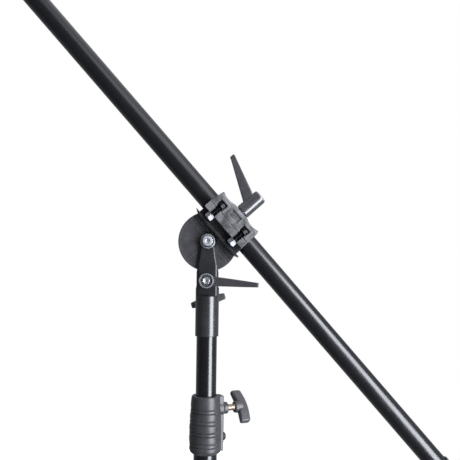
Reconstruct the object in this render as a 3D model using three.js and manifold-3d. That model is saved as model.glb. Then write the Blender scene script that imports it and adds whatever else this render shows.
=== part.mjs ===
// Overhead boom arm: a telescopic mast end, a forked swivel head with a friction disc, a two-part tube clamp
// and a telescopic boom. Millimetres, +Z up. The mast's axis is Z, and the origin is the centre of the foot
// plug's bottom face. X runs to the boom's low rear end and Y is the tilt axis.
import * as THREE from "three";
import { mergeVertices } from "three/addons/utils/BufferGeometryUtils.js";
import Module from "manifold-3d";

const wasm = await Module();
wasm.setup();

// Gaps and clearances
const seatGap = 0.3; // between pieces that rest on each other
const slideGap = 0.25; // around a tube that slides in a collar or clamp
const boltGap = 0.2; // around a bolt or stud in its hole
const bushGap = 0.15; // around a slide bush in its tube
const beyond = 60; // how far a cut runs past the faces that it opens
const bite = 0.5; // overlap of two solids that are joined
const skin = 0.01; // past a face that another shape would only touch

// Chamfers
const tubeChamfer = 0.4;
const smallChamfer = 0.6;
const chamfer = 0.8;

// Facets round one turn
const tubeFacets = 24;
const boltFacets = 12;
const hubFacets = 18;
const discFacets = 40;
const bushFacets = 16;

// Pose of the boom
const pivotHeight = 600; // tilt axis above the foot
const boomAngle = 48.4; // degrees that the rear end of the boom lies below level
const boomOffset = 34.3; // boom axis from the tilt axis

// Mast tubes
const lowerTubeRadius = 14.5;
const lowerTubeWall = 1.5;
const riserRadius = 12.5;
const riserWall = 1.3;
const riserTravelDown = 70; // that the riser can still sink
const riserFootGap = 5.4; // left above the foot plug at its lowest
const footPlugDepth = 24;
const footPlugFlange = 4;
const riserBushLength = 26;
const riserBushFlange = 2;

// Mast collar
const mastCollarTop = 188; // below the tilt axis
const mastCollarLength = 70.6;
const mastCollarRadius = 17.4; // at the top edge
const mastCollarSwell = 2; // more at the widest place
const mastTubeStop = 9; // lower tube's end below the knob axis
const mastKnobDrop = 17.6; // knob axis below the collar's top
const mastCollarYaw = 25; // degrees that the knob points away from X
const mastPinRise = 18.2; // fixing screw above the collar's lower edge

// Ribs of the collars
const ribPairs = 4;
const ribStart = 15.7; // first groove below the top edge
const mastRibEnd = 9.7; // last groove above the lower edge
const frontRibEnd = 16.3;
const ribRingWidth = 4.4; // narrow ring between the two grooves of a pair
const ribGrooveWidth = 1.5;
const ribGrooveDepth = 0.8;
const ribBulge = 0.5;
const swellRate = 1.5; // widest place at two thirds of the way down
const swellSharpness = 1.5;
const collarFoot = 4; // height of the tucked-in lower edge
const collarFootInset = 3.4;
const collarFootShoulder = 1.8;
const smoothHalfAngle = 68; // degrees of plain flank on each side of the rail

// Rail and boss that carry a collar's knob
const railHalfWidth = 7;
const railReach = 4.2; // beyond the collar's top radius
const railEndDrop = 1.2; // rail ends short of the barrel's ends
const railFootDrop = 1.6; // and of its lower edge
const railEdge = 1.2;
const bossRadius = 7.3;
const bossReach = 6.6; // beyond the rail

// T-shaped knobs
const knobStudRadius = 4;
const knobStudShow = 10.2; // stud between its boss and the handle
const knobStudGrip = 9; // stud inside the handle
const knobHubRadius = 7.2;
const knobHubLength = 4.6;
const knobBarLength = 45;
const knobBarWidth = 11.4;
const knobBarEndWidth = 7.4;
const knobBarEnd = 10; // bar depth at its ends
const knobBarMiddle = 12.6; // bar depth at its middle
const knobBarHollow = 2.2; // inner side's dip at the middle
const knobBarReturn = 2.5; // how far the ends reach back
const knobBarStations = [-1, -0.94, -0.7, -0.4, 0, 0.4, 0.7, 0.94, 1]; // shares of half the length
const knobBarTip = 0.7; // share of the section that is left at the very ends
const knobPadLength = 2;
const mastKnobRoll = -45; // degrees that the bar is turned about its axis
const yokeKnobRoll = 73;
const frontKnobRoll = 20;

// Fork and socket
const socketRadius = 14.3;
const socketBottom = 115.6; // below the tilt axis
const socketBoreTop = 68;
const socketFlatEnd = 66.3; // flats run from here up
const forkHalfDepth = 9.14; // flats from the mast axis
const forkSlotHalf = 4.8;
const forkSlotBottom = 56;
const forkEyeRadius = 9.9;
const forkNeckHalf = 8.3;
const forkNeckDrop = 6;
const forkFlareDrop = 43; // full width is reached here
const forkEdge = 1;
const forkCurveLow = 0.74; // shares of the flare's drop that shape its curve
const forkCurveHigh = 0.48;
const forkCurveIn = 1.6;
const forkCurveOut = 0.4;
const eyeBossRadius = 9.6;
const eyeBossHalfDepth = 11.3;
const eyeSeatHalfDepth = 8.6;
const eyeSeatRadius = 7.3;
const yokeKnobDrop = 73.6;
const yokeKnobBoss = 2.6; // boss beyond the socket

// Bolts of the head
const pivotBoltRadius = 4;
const boltHeadRadius = 6.5;
const boltHeadHeight = 8;
const boltKey = 6;
const boltKeyDepth = 4;
const nutFlats = 13;
const nutHeight = 6.5;
const boltTail = 2.2; // thread beyond the nut
const brakeDrop = 47.8; // brake lever axis below the tilt axis
const brakeLeverFall = 4.1; // degrees that the brake lever's arm hangs below level
const brakeWasherRadius = 8.4;
const brakeWasherThickness = 1.6;

// Friction disc and its flange
const discRadius = 36.3;
const discHalfThickness = 3.4;
const frictionWasherThickness = 0.8;
const frictionWasherRadius = 9.4;
const flangeTop = 15.9; // from the tilt axis
const flangeThickness = 2.4;
const flangeHalfLength = 38.6;
const flangeHalfDepth = 16;
const flangeBand = 9; // thick band below the flange's top
const flangeBandHalfThickness = 4.4;
const discRimWidth = 2.6;
const discRimProud = 0.5;
const discRibs = 8;
const discRibWidth = 1.6;
const discHubRadius = 10.4;
const flangeTipThickness = 0.5;
const saddleSinkLip = 0.4;
const saddleSinkCone = 1.8;

// Tube clamp
const clampHalfLength = 33.5;
const clampHalfDepth = 22.5;
const clampTop = 19.2; // from the boom axis
const clampSaddleDip = 2.5;
const clampBossHalf = 9.8;
const clampShoulder = 5;
const clampEarDrop = 9.8; // ears below the boom axis
const clampFootHalfDepth = 11.4;
const clampSeam = 0.5;
const clampEndLean = 0.8;
const clampBossEdge = 0.6;
const clampShoulderSpread = 8;
const windowHalfLength = 7.6;
const windowLow = 4.6;
const windowHigh = 13.2;
const windowDepth = 1.6;
const clampScrewPitch = 40.6; // along the boom
const clampScrewDepth = 17.9; // from the boom axis, towards front and back
const clampScrewRadius = 3;
const clampScrewTop = 9;
const clampScrewFlange = 6;
const clampScrewFlangeHeight = 1.2;
const clampScrewHeadHeight = 5.4;
const clampNutFlats = 10;
const clampNutHeight = 5;
const clampPocketTop = 10.5;
const clampChannelHalf = 4.3;
const saddleScrewPitch = 50;
const saddleScrewDepth = 7.6;
const saddleScrewRadius = 2;
const saddleScrewHead = 3.8;
const saddleScrewLength = 6;
const clampPadRadius = 5.5;
const clampPadThickness = 2.4;

// Clamping levers
const leverHubRadius = 9.15;
const leverHubTopRadius = 7.6;
const leverHubHeight = 30;
const leverReach = 60.6;
const leverRootLow = 7.5;
const leverRootHigh = 23.2;
const leverTipHeight = 35.1;
const leverRootWidth = 11.4;
const leverTipWidth = 5.4;
const leverTipThickness = 6.5;
const leverLift = 2; // hub above its seat
const leverArmSquareness = 0.6; // 1 is an ellipse, less is squarer
const leverArmTaper = 1.2;
const leverTipTaper = 0.62;
const leverTipLow = 0.28; // share of the tip's thickness below its middle
const leverTipHigh = 0.38;
const leverDomeDrop = 5; // dome starts below the hub's top
const leverDomeShoulder = 2.2;
const leverDomeEdge = 0.3;
const leverRimWidth = 1; // round the screw's well
const leverScrewPlay = 0.6;
const insertTeeth = 14;
const insertRadius = 6.2;
const insertToothDepth = 0.8;
const insertToothLow = 5.5;
const insertToothHigh = 9;
const leverWebLow = 14;
const leverWebHigh = 16;
const leverBoreRadius = 6.9;
const leverScrewRadius = 2;
const leverScrewHead = 4;
const leverScrewSeat = 26;
const leverScrewHeadHeight = 2.8;
const leverScrewKey = 3;
const leverScrewKeyDepth = 1.4;
const leverWellRadius = 4.5;
const leverSpringLength = 5.2;
const leverSpringWire = 0.55;
const leverSpringTurns = 3;

// Boom tubes
const boomRadius = 12.5;
const boomWall = 1.2;
const boomFront = 520; // from the clamp's middle
const boomRear = 420;
const extensionRadius = 11;
const extensionWall = 1.1;
const extensionInside = 420; // length inside the boom tube at rest
const extensionShow = 80; // length beyond the front collar
const frontCollarRadius = 15.8;
const frontCollarSwell = 1;
const frontCollarLength = 50;
const frontKnobDrop = 10.5;
const frontTubeStop = 9.5; // boom tube's end below the knob axis
const frontPinRise = 17;
const frontRibPairs = 2;
const fixingScrewRadius = 1.6;
const fixingScrewHead = 5.2;
const fixingScrewHeadHeight = 4.2;
const roundHead = [[1, 0], [0.94, 0.45], [0.6, 0.85], [0, 1]]; // shares of a round head's radius and height
const spigotRadius = 8;
const spigotLength = 34;
const spigotWaist = 6.6;
const spigotWaistShares = [0.38, 0.44, 0.62, 0.68]; // of its length: start, full depth, full depth, end
const spigotFlange = 10.6;
const spigotFlangeThickness = 4;
const spigotPlug = 30;

// Rear cap and counterweight hook
const capWall = 1.8;
const capLength = 30;
const capEnd = 4;
const capEdge = 1.6;
const lugLength = 14; // pin beyond the cap
const lugHalfGap = 2.5;
const lugThickness = 3;
const lugRadius = 7;
const hookPinRadius = 2.5;
const hookPinHead = 4;
const hookPinHeadHeight = 1.4;
const hookWire = 2;
const hookEyeGap = 0.5;
const hookShank = 24;
const hookBend = 10;
const hookEyeEnd = 258; // degrees round the eye where the wire starts
const hookTip = -228; // degrees round the bow where it ends

const rad = THREE.MathUtils.degToRad;

// Materials
function finish(hex, roughness, metalness) {
  return new THREE.MeshStandardMaterial({ color: hex, roughness, metalness });
}
const blackTube = () => finish(0x0b0b0d, 0.25, 0.4);
const satinBlack = () => finish(0x1c1c1e, 0.45, 0.3);
const castGrey = () => finish(0x4b4b50, 0.5, 0.4);
const nylonGrey = () => finish(0x3e3e42, 0.6, 0);
const leverGrey = () => finish(0x2b2b2e, 0.5, 0.3);
const zinc = () => finish(0xc4c8cd, 0.3, 1);
const brass = () => finish(0xb08a58, 0.35, 1);
const rubber = () => finish(0x151515, 0.85, 0);

// A closed geometry as a solid: shared corners merged, slivers left out, faces turned outward
function solidOf(geometry) {
  const bare = new THREE.BufferGeometry();
  bare.setAttribute("position", geometry.getAttribute("position"));
  bare.setIndex(geometry.getIndex());
  const merged = mergeVertices(bare, 1e-4);
  const points = merged.getAttribute("position").array;
  const index = merged.getIndex().array;
  const kept = [];
  let volume = 0;
  for (let i = 0; i < index.length; i += 3) {
    const [a, b, c] = [index[i], index[i + 1], index[i + 2]];
    if (a === b || b === c || c === a) continue;
    kept.push(a, b, c);
    const corner = (n) => new THREE.Vector3().fromArray(points, 3 * n);
    volume += corner(a).dot(corner(b).cross(corner(c)));
  }
  const triangles = Uint32Array.from(kept);
  if (volume < 0) triangles.reverse();
  return new wasm.Manifold(
    new wasm.Mesh({ numProp: 3, vertProperties: Float32Array.from(points), triVerts: triangles }),
  );
}

function geometryOf(solid) {
  const mesh = solid.getMesh();
  const geometry = new THREE.BufferGeometry();
  geometry.setAttribute("position", new THREE.BufferAttribute(mesh.vertProperties, 3));
  geometry.setIndex(new THREE.BufferAttribute(mesh.triVerts, 1));
  geometry.computeVertexNormals();
  return geometry;
}

const join = (first, ...rest) => rest.reduce((sum, solid) => sum.add(solid), first);
const cut = (first, ...rest) => rest.reduce((left, solid) => left.subtract(solid), first);

function meshOf(name, solid, material) {
  const mesh = new THREE.Mesh(geometryOf(solid), material);
  mesh.name = name;
  return mesh;
}

// A profile of [radius, height] corners turned about Z
function turnedShape(profile, facets = tubeFacets) {
  const points = profile.map(([radius, height]) => new THREE.Vector2(radius, height));
  const onAxis = profile[0][0] === 0 && profile.at(-1)[0] === 0;
  if (!onAxis) points.push(points[0].clone());
  return new THREE.LatheGeometry(points, facets).rotateX(Math.PI / 2);
}
const turned = (profile, facets) => solidOf(turnedShape(profile, facets));

// A plain rod along Z, X or Y
function rodShape(radius, low, high, facets = boltFacets) {
  const rod = new THREE.CylinderGeometry(radius, radius, high - low, facets);
  return rod.rotateX(Math.PI / 2).translate(0, 0, (low + high) / 2);
}
const rod = (radius, low, high, facets) => solidOf(rodShape(radius, low, high, facets));
const rodAlongY = (radius, low, high, facets) =>
  solidOf(rodShape(radius, low, high, facets).rotateX(-Math.PI / 2));

function block(x0, x1, y0, y1, z0, z1) {
  const box = new THREE.BoxGeometry(x1 - x0, y1 - y0, z1 - z0);
  return solidOf(box.translate((x0 + x1) / 2, (y0 + y1) / 2, (z0 + z1) / 2));
}

// A shape drawn in X and Z, thickened to both sides of the XZ plane, with bevelled edges
function plate(shape, halfDepth, edge = 0, curveSegments = 12) {
  const geometry = new THREE.ExtrudeGeometry(shape, {
    depth: 2 * (halfDepth - edge),
    bevelEnabled: edge > 0,
    bevelThickness: edge,
    bevelSize: edge,
    bevelOffset: -edge,
    bevelSegments: 1,
    curveSegments,
  });
  return solidOf(geometry.translate(0, 0, edge - halfDepth).rotateX(Math.PI / 2));
}

// A shape drawn in Y and Z, drawn out along X
function bar(shape, halfLength, curveSegments = 12) {
  const settings = { depth: 2 * halfLength, bevelEnabled: false, curveSegments };
  const geometry = new THREE.ExtrudeGeometry(shape, settings);
  geometry.translate(0, 0, -halfLength).rotateX(Math.PI / 2).rotateZ(Math.PI / 2);
  return solidOf(geometry);
}

function polygon(corners) {
  return new THREE.Shape(corners.map(([x, y]) => new THREE.Vector2(x, y)));
}

// A hexagon of the given width across flats, drawn out from low to high along Z
function hexagon(acrossFlats, low, high) {
  return rod(acrossFlats / Math.sqrt(3), low, high, 6);
}

// A skin over rings of equally many points, closed by a flat cap at each end
function lofted(rings) {
  const count = rings[0].length;
  const positions = rings.flat().flatMap((point) => point.toArray());
  const index = [];
  for (let ring = 0; ring < rings.length - 1; ring += 1) {
    for (let side = 0; side < count; side += 1) {
      const a = ring * count + side;
      const b = ring * count + ((side + 1) % count);
      index.push(a, b, a + count, b, b + count, a + count);
    }
  }
  const last = (rings.length - 1) * count;
  for (let side = 1; side < count - 1; side += 1) {
    index.push(0, side + 1, side, last, last + side, last + side + 1);
  }
  const geometry = new THREE.BufferGeometry();
  geometry.setAttribute("position", new THREE.Float32BufferAttribute(positions, 3));
  geometry.setIndex(index);
  return solidOf(geometry);
}

// Tubes with a small chamfer at both ends
function tube(outer, inner, low, high) {
  const edge = Math.min(tubeChamfer, (outer - inner) / 3);
  return turned([
    [outer - edge, low],
    [outer, low + edge],
    [outer, high - edge],
    [outer - edge, high],
    [inner, high],
    [inner, low],
  ]);
}

// Radius of a collar's barrel at a height measured up from its bottom edge
function barrelRadius(height, spec) {
  const share = height / spec.length;
  const turn = (Math.PI / 2) * Math.min(1, swellRate * (1 - share));
  return spec.radius + spec.swell * Math.sin(turn) ** swellSharpness;
}

// Barrel profile of a collar, from the bottom edge up, plain or with ribs
function barrelProfile(spec, ribbed) {
  const foot = barrelRadius(collarFoot, spec);
  const profile = [
    [foot - collarFootInset, 0],
    [foot - 1, collarFootShoulder],
    [foot - ribGrooveDepth / 4, collarFoot],
  ];
  const half = ribGrooveWidth / 2;
  const pitch = (spec.length - ribStart - ribRingWidth - spec.ribEnd) / (spec.pairs - 1);
  const grooves = [];
  for (let pair = spec.pairs - 1; pair >= 0; pair -= 1) {
    const upper = spec.length - ribStart - pair * pitch;
    grooves.push(upper - ribRingWidth, upper);
  }
  let below = collarFoot;
  for (const groove of grooves) {
    const middle = (below + groove - half) / 2;
    if (groove - below > 2 * ribRingWidth || !ribbed) {
      profile.push([barrelRadius(middle, spec) + (ribbed ? ribBulge : 0), middle]);
    }
    if (ribbed) {
      profile.push([barrelRadius(groove, spec), groove - half]);
      profile.push([barrelRadius(groove, spec) - ribGrooveDepth, groove]);
      profile.push([barrelRadius(groove, spec), groove + half]);
    }
    below = groove + half;
  }
  profile.push([spec.radius, spec.length - ribGrooveWidth], [spec.radius - 1, spec.length]);
  return profile;
}

// A collar round the joint of two telescopic tubes, with a rail and boss for its knob along +X
function collar(spec) {
  const upperBore = spec.slider + slideGap;
  const lowerBore = spec.holder + seatGap;
  const bored = (ribbed) => turned([
    ...barrelProfile(spec, ribbed),
    [upperBore, spec.length],
    [upperBore, spec.grip + seatGap],
    [lowerBore, spec.grip + seatGap],
    [lowerBore, 0],
  ]);
  const flank = spec.radius + 2 * spec.swell + railReach;
  const wedge = new THREE.Shape();
  wedge.moveTo(0, 0);
  wedge.absarc(0, 0, 2 * flank, -rad(smoothHalfAngle), rad(smoothHalfAngle), false);
  wedge.closePath();
  const wedgeShape = new THREE.ExtrudeGeometry(wedge, {
    depth: spec.length,
    bevelEnabled: false,
    curveSegments: 4,
  });
  const plain = bored(false).intersect(solidOf(wedgeShape));
  const railFace = spec.radius + railReach;
  const railShape = new THREE.Shape();
  const edge = railEdge;
  railShape.moveTo(upperBore + 1, -railHalfWidth);
  railShape.lineTo(railFace - edge, -railHalfWidth);
  railShape.quadraticCurveTo(railFace, -railHalfWidth, railFace, edge - railHalfWidth);
  railShape.lineTo(railFace, railHalfWidth - edge);
  railShape.quadraticCurveTo(railFace, railHalfWidth, railFace - edge, railHalfWidth);
  railShape.lineTo(upperBore + 1, railHalfWidth);
  railShape.closePath();
  const rail = new THREE.ExtrudeGeometry(railShape, {
    depth: spec.length - railEndDrop - railFootDrop,
    bevelEnabled: false,
    curveSegments: 4,
  });
  const knobHeight = spec.length - spec.knobDrop;
  const boss = rodShape(bossRadius, railFace - 2, railFace + bossReach);
  const studHole = rodShape(knobStudRadius + boltGap, 0, railFace + bossReach + 1);
  const pinHole = rodShape(fixingScrewRadius + boltGap, 0, railFace + 1, 12);
  const toward = (shape, height) => solidOf(shape.rotateY(Math.PI / 2).translate(0, 0, height));
  const wholeBore = turned([
    [0, -1],
    [lowerBore, -1],
    [lowerBore, spec.grip + seatGap],
    [upperBore, spec.grip + seatGap],
    [upperBore, spec.length + 1],
    [0, spec.length + 1],
  ]);
  const body = join(
    bored(true),
    plain,
    solidOf(rail.translate(0, 0, railFootDrop)),
    toward(boss, knobHeight),
  );
  return cut(body, wholeBore, toward(studHole, knobHeight), toward(pinHole, spec.pinRise));
}

// Round-headed screw that pins a collar to its tube, along +X
function fixingScrew(name, spec, tubeInner) {
  const face = spec.radius + railReach + seatGap;
  const top = fixingScrewHeadHeight;
  const screw = turned([
    [0, tubeInner + seatGap],
    [fixingScrewRadius, tubeInner + seatGap],
    [fixingScrewRadius, face],
    ...roundHead.map(([wide, high]) => [fixingScrewHead * wide, face + top * high]),
  ], boltFacets);
  return meshOf(name, screw, zinc());
}

// Crescent bar of a knob along X, hollow on its inner side and narrower towards its ends
function knobBar() {
  const rings = [];
  for (const share of knobBarStations) {
    const fullness = 1 - share * share;
    const low = knobBarHollow * fullness - knobBarReturn * (1 - fullness);
    const high = knobBarEnd + (knobBarMiddle - knobBarEnd) * fullness;
    const width = knobBarEndWidth + (knobBarWidth - knobBarEndWidth) * fullness;
    const kept = Math.abs(share) === 1 ? knobBarTip : 1;
    const inset = ((high - low) / 2) * (1 - kept);
    rings.push(armRing((knobBarLength / 2) * share, low + inset, high - inset, width * kept));
  }
  return lofted(rings);
}

// T-shaped knob along +Z: the stud starts at the given height and its seat face is at zero
function knob(prefix, studStart, roll) {
  const hubFace = knobStudShow;
  const barFace = hubFace + knobHubLength;
  const hub = turned([
    [0, hubFace - barFace],
    [knobHubRadius - 1, hubFace - barFace],
    [knobHubRadius, 1 + hubFace - barFace],
    [knobHubRadius, knobBarEnd / 2],
    [0, knobBarEnd / 2],
  ], boltFacets);
  const hole = rod(knobStudRadius + boltGap, hubFace - barFace - 1, knobStudGrip - knobHubLength + seatGap);
  const handle = meshOf(`${prefix}_knob_handle`, cut(join(knobBar(), hub), hole), nylonGrey());
  handle.position.z = barFace;
  const stud = meshOf(`${prefix}_knob_stud`, turned([
    [0, studStart],
    [knobStudRadius - chamfer, studStart],
    [knobStudRadius, studStart + chamfer],
    [knobStudRadius, hubFace + knobStudGrip],
    [0, hubFace + knobStudGrip],
  ], boltFacets), brass());
  const group = new THREE.Group();
  group.add(handle, stud);
  group.rotation.z = rad(roll);
  return group;
}

// Small pressure pad in front of a knob's stud, along +Z
function pressurePad(name, radius, low, high, material) {
  return meshOf(name, rod(radius, low, high, boltFacets), material);
}

// Points a group's own +Z along +X, turned by a yaw about Z, at the given height
function sideways(group, yaw, height) {
  const outer = new THREE.Group();
  const inner = new THREE.Group();
  inner.rotation.y = Math.PI / 2;
  inner.add(group);
  outer.add(inner);
  outer.rotation.z = yaw;
  outer.position.z = height;
  return outer;
}

// Ring of a rounded rectangle across X, for a lever's arm or a knob's bar
function armRing(x, low, high, width) {
  const ring = [];
  const corners = 10;
  for (let i = 0; i < corners; i += 1) {
    const angle = ((i + 0.5) / corners) * 2 * Math.PI;
    const squash = (value) => Math.sign(value) * Math.abs(value) ** leverArmSquareness;
    const y = (width / 2) * squash(Math.cos(angle));
    const z = (low + high) / 2 + ((high - low) / 2) * squash(Math.sin(angle));
    ring.push(new THREE.Vector3(x, y, z));
  }
  return ring;
}

// A ring of teeth drawn out along Z
function toothed(tip, root, low, high) {
  const corners = [];
  for (let i = 0; i < 2 * insertTeeth; i += 1) {
    const radius = i % 2 ? root : tip;
    const angle = (i / insertTeeth) * Math.PI;
    corners.push([radius * Math.cos(angle), radius * Math.sin(angle)]);
  }
  const geometry = new THREE.ExtrudeGeometry(polygon(corners), { depth: high - low, bevelEnabled: false });
  return solidOf(geometry.translate(0, 0, low));
}

// Helical spring about Z with square-cut ends
class Helix extends THREE.Curve {
  constructor(radius, length, turns) {
    super();
    this.radius = radius;
    this.length = length;
    this.turns = turns;
  }

  getPoint(t, target = new THREE.Vector3()) {
    const angle = t * this.turns * 2 * Math.PI;
    return target.set(this.radius * Math.cos(angle), this.radius * Math.sin(angle), t * this.length);
  }
}

function spring(name, radius, low, length) {
  const wire = new THREE.Shape();
  wire.absarc(0, 0, leverSpringWire, 0, 2 * Math.PI, false);
  const geometry = new THREE.ExtrudeGeometry(wire, {
    extrudePath: new Helix(radius, length - 2 * leverSpringWire, leverSpringTurns),
    steps: 8 * leverSpringTurns,
    curveSegments: 2,
    bevelEnabled: false,
  });
  return meshOf(name, solidOf(geometry.translate(0, 0, low + leverSpringWire)), zinc());
}

// Adjustable clamping lever along +Z with its arm along +X: hub bottom at zero, stud down to studEnd
function lever(prefix, studEnd) {
  const wellFloor = leverWebHigh;
  const hub = turned([
    [leverBoreRadius, 0],
    [leverHubRadius - smallChamfer, 0],
    [leverHubRadius, chamfer],
    [leverHubTopRadius + tubeChamfer, leverHubHeight - leverDomeDrop],
    [leverHubTopRadius - smallChamfer, leverHubHeight - leverDomeShoulder],
    [leverWellRadius + leverRimWidth, leverHubHeight - leverDomeEdge],
    [leverWellRadius, leverHubHeight],
    [leverWellRadius, wellFloor],
    [leverScrewRadius + leverScrewPlay, wellFloor],
    [leverScrewRadius + leverScrewPlay, leverWebLow],
    [leverBoreRadius, leverWebLow],
  ], hubFacets);
  const grip = join(hub, cut(
    rod(leverBoreRadius + bite, insertToothLow - seatGap, leverWebLow + bite, hubFacets),
    toothed(insertRadius + seatGap, insertRadius - insertToothDepth + seatGap, 0, leverWebLow + 1),
  ));
  const rootX = leverWellRadius + leverRimWidth;
  const stations = 4;
  const rings = [];
  for (let i = 0; i <= stations; i += 1) {
    const share = i / stations;
    const x = rootX + (leverReach - 2 - rootX) * share;
    const high = leverRootHigh + (leverTipHeight + leverTipThickness / 2 - leverRootHigh) * share;
    const low = leverRootLow + (leverTipHeight - leverTipThickness / 2 - leverRootLow) * share;
    const width = leverRootWidth + (leverTipWidth - leverRootWidth) * share ** leverArmTaper;
    rings.push(armRing(x, low, high, width));
  }
  const tipLow = leverTipHeight - leverTipThickness * leverTipLow;
  const tipHigh = leverTipHeight + leverTipThickness * leverTipHigh;
  rings.push(armRing(leverReach, tipLow, tipHigh, leverTipWidth * leverTipTaper));
  const inside = rod(leverWellRadius, wellFloor, leverHubHeight + 20, hubFacets);
  const below = rod(leverBoreRadius, -1, leverWebLow, hubFacets);
  const arm = cut(lofted(rings), inside, below);
  const handle = meshOf(prefix, join(grip, arm), leverGrey());

  const insert = meshOf(`${prefix}_insert`, cut(
    join(
      toothed(insertRadius, insertRadius - insertToothDepth, insertToothLow, insertToothHigh),
      rod(pivotBoltRadius, studEnd, insertToothLow + 1),
    ),
    rod(leverScrewRadius + boltGap, insertToothLow - 3, insertToothHigh + 1, 16),
  ), zinc());

  const screwTop = leverScrewSeat + leverScrewHeadHeight;
  const screwSolid = cut(
    turned([
      [0, insertToothLow - 3 + seatGap],
      [leverScrewRadius, insertToothLow - 3 + seatGap],
      [leverScrewRadius, leverScrewSeat],
      [leverScrewHead, leverScrewSeat],
      [leverScrewHead, screwTop - chamfer],
      [leverScrewHead - chamfer, screwTop],
      [0, screwTop],
    ], boltFacets),
    hexagon(leverScrewKey, screwTop - leverScrewKeyDepth, screwTop + 1),
  );
  const screw = meshOf(`${prefix}_screw`, screwSolid, zinc());
  const springMean = (leverScrewRadius + leverWellRadius) / 2;
  const coil = spring(`${prefix}_spring`, springMean, leverWebHigh + seatGap, leverSpringLength);
  const group = new THREE.Group();
  group.add(handle, insert, screw, coil);
  return group;
}

// Mast: lower tube, foot plug and the ribbed collar with its knob
function mast() {
  const group = new THREE.Group();
  const collarBottom = pivotHeight - mastCollarTop - mastCollarLength;
  const lowerInner = lowerTubeRadius - lowerTubeWall;
  const grip = mastCollarLength - mastKnobDrop - mastTubeStop;
  const spec = {
    length: mastCollarLength,
    radius: mastCollarRadius,
    swell: mastCollarSwell,
    pairs: ribPairs,
    ribEnd: mastRibEnd,
    slider: riserRadius,
    holder: lowerTubeRadius,
    grip,
    knobDrop: mastKnobDrop,
    pinRise: mastPinRise,
  };
  const yaw = rad(mastCollarYaw);
  const pinHeight = collarBottom + mastPinRise;
  const pinHole = rodShape(fixingScrewRadius + boltGap, 0, lowerTubeRadius + 2, 12);
  const tubeSolid = cut(
    tube(lowerTubeRadius, lowerInner, footPlugFlange + seatGap, collarBottom + grip),
    solidOf(pinHole.rotateY(Math.PI / 2).rotateZ(yaw).translate(0, 0, pinHeight)),
  );
  group.add(meshOf("lower_tube", tubeSolid, blackTube()));

  const plugRadius = lowerInner - seatGap;
  group.add(meshOf("foot_plug", turned([
    [0, 0],
    [lowerTubeRadius - chamfer, 0],
    [lowerTubeRadius, chamfer],
    [lowerTubeRadius, footPlugFlange],
    [plugRadius, footPlugFlange],
    [plugRadius, footPlugDepth - 1],
    [plugRadius - 1, footPlugDepth],
    [plugRadius - 3, footPlugDepth],
    [plugRadius - 3, footPlugFlange],
    [0, footPlugFlange],
  ]), rubber()));

  const collarMesh = meshOf("mast_collar", collar(spec), castGrey());
  collarMesh.position.z = collarBottom;
  collarMesh.rotation.z = yaw;
  group.add(collarMesh);
  group.add(sideways(fixingScrew("mast_collar_screw", spec, lowerInner), yaw, pinHeight));

  const knobSeat = mastCollarRadius + railReach + bossReach;
  const padStart = riserRadius + seatGap;
  const knobGroup = knob("mast", padStart + knobPadLength + seatGap - knobSeat, mastKnobRoll);
  knobGroup.position.z = knobSeat;
  const assembly = new THREE.Group();
  const pad = pressurePad("mast_brake_pad", knobStudRadius, padStart, padStart + knobPadLength, rubber());
  assembly.add(knobGroup, pad);
  group.add(sideways(assembly, yaw, collarBottom + mastCollarLength - mastKnobDrop));
  return group;
}

// Riser: the tube that slides in the mast, with its bush
function riser() {
  const group = new THREE.Group();
  const top = pivotHeight - socketBoreTop - seatGap;
  const bottom = footPlugDepth + riserFootGap + riserTravelDown + riserBushFlange + seatGap;
  const inner = riserRadius - riserWall;
  group.add(meshOf("riser_tube", tube(riserRadius, inner, bottom, top), blackTube()));
  const bushRadius = lowerTubeRadius - lowerTubeWall - bushGap;
  const plug = inner - seatGap;
  const flangeTopZ = bottom - seatGap;
  group.add(meshOf("riser_bush", turned([
    [plug - 2, flangeTopZ - riserBushFlange],
    [bushRadius, flangeTopZ - riserBushFlange],
    [bushRadius, flangeTopZ],
    [plug, flangeTopZ],
    [plug, flangeTopZ + riserBushLength],
    [plug - 2, flangeTopZ + riserBushLength],
  ], bushFacets), nylonGrey()));
  return group;
}

// Front view of the fork: round eye, waisted neck and flare into the socket
function forkOutline() {
  const outline = new THREE.Shape();
  const meet = Math.asin(forkNeckHalf / forkEyeRadius);
  outline.moveTo(-socketRadius, -socketFlatEnd - 4);
  outline.lineTo(socketRadius, -socketFlatEnd - 4);
  outline.lineTo(socketRadius, -forkFlareDrop);
  outline.bezierCurveTo(
    socketRadius - forkCurveIn, -forkFlareDrop * forkCurveLow,
    forkNeckHalf + forkCurveOut, -forkFlareDrop * forkCurveHigh,
    forkNeckHalf, -forkNeckDrop,
  );
  outline.absarc(0, 0, forkEyeRadius, meet - Math.PI / 2, 1.5 * Math.PI - meet, false);
  outline.lineTo(-forkNeckHalf, -forkNeckDrop);
  outline.bezierCurveTo(
    -forkNeckHalf - forkCurveOut, -forkFlareDrop * forkCurveHigh,
    forkCurveIn - socketRadius, -forkFlareDrop * forkCurveLow,
    -socketRadius, -forkFlareDrop,
  );
  outline.closePath();
  return outline;
}

// Slot of the fork with rounded corners at its floor, in Y and Z
function slotOutline() {
  const corner = 2;
  const outline = new THREE.Shape();
  outline.moveTo(-forkSlotHalf, forkEyeRadius + 2);
  outline.lineTo(-forkSlotHalf, corner - forkSlotBottom);
  outline.quadraticCurveTo(-forkSlotHalf, -forkSlotBottom, corner - forkSlotHalf, -forkSlotBottom);
  outline.lineTo(forkSlotHalf - corner, -forkSlotBottom);
  outline.quadraticCurveTo(forkSlotHalf, -forkSlotBottom, forkSlotHalf, corner - forkSlotBottom);
  outline.lineTo(forkSlotHalf, forkEyeRadius + 2);
  outline.closePath();
  return outline;
}

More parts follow.
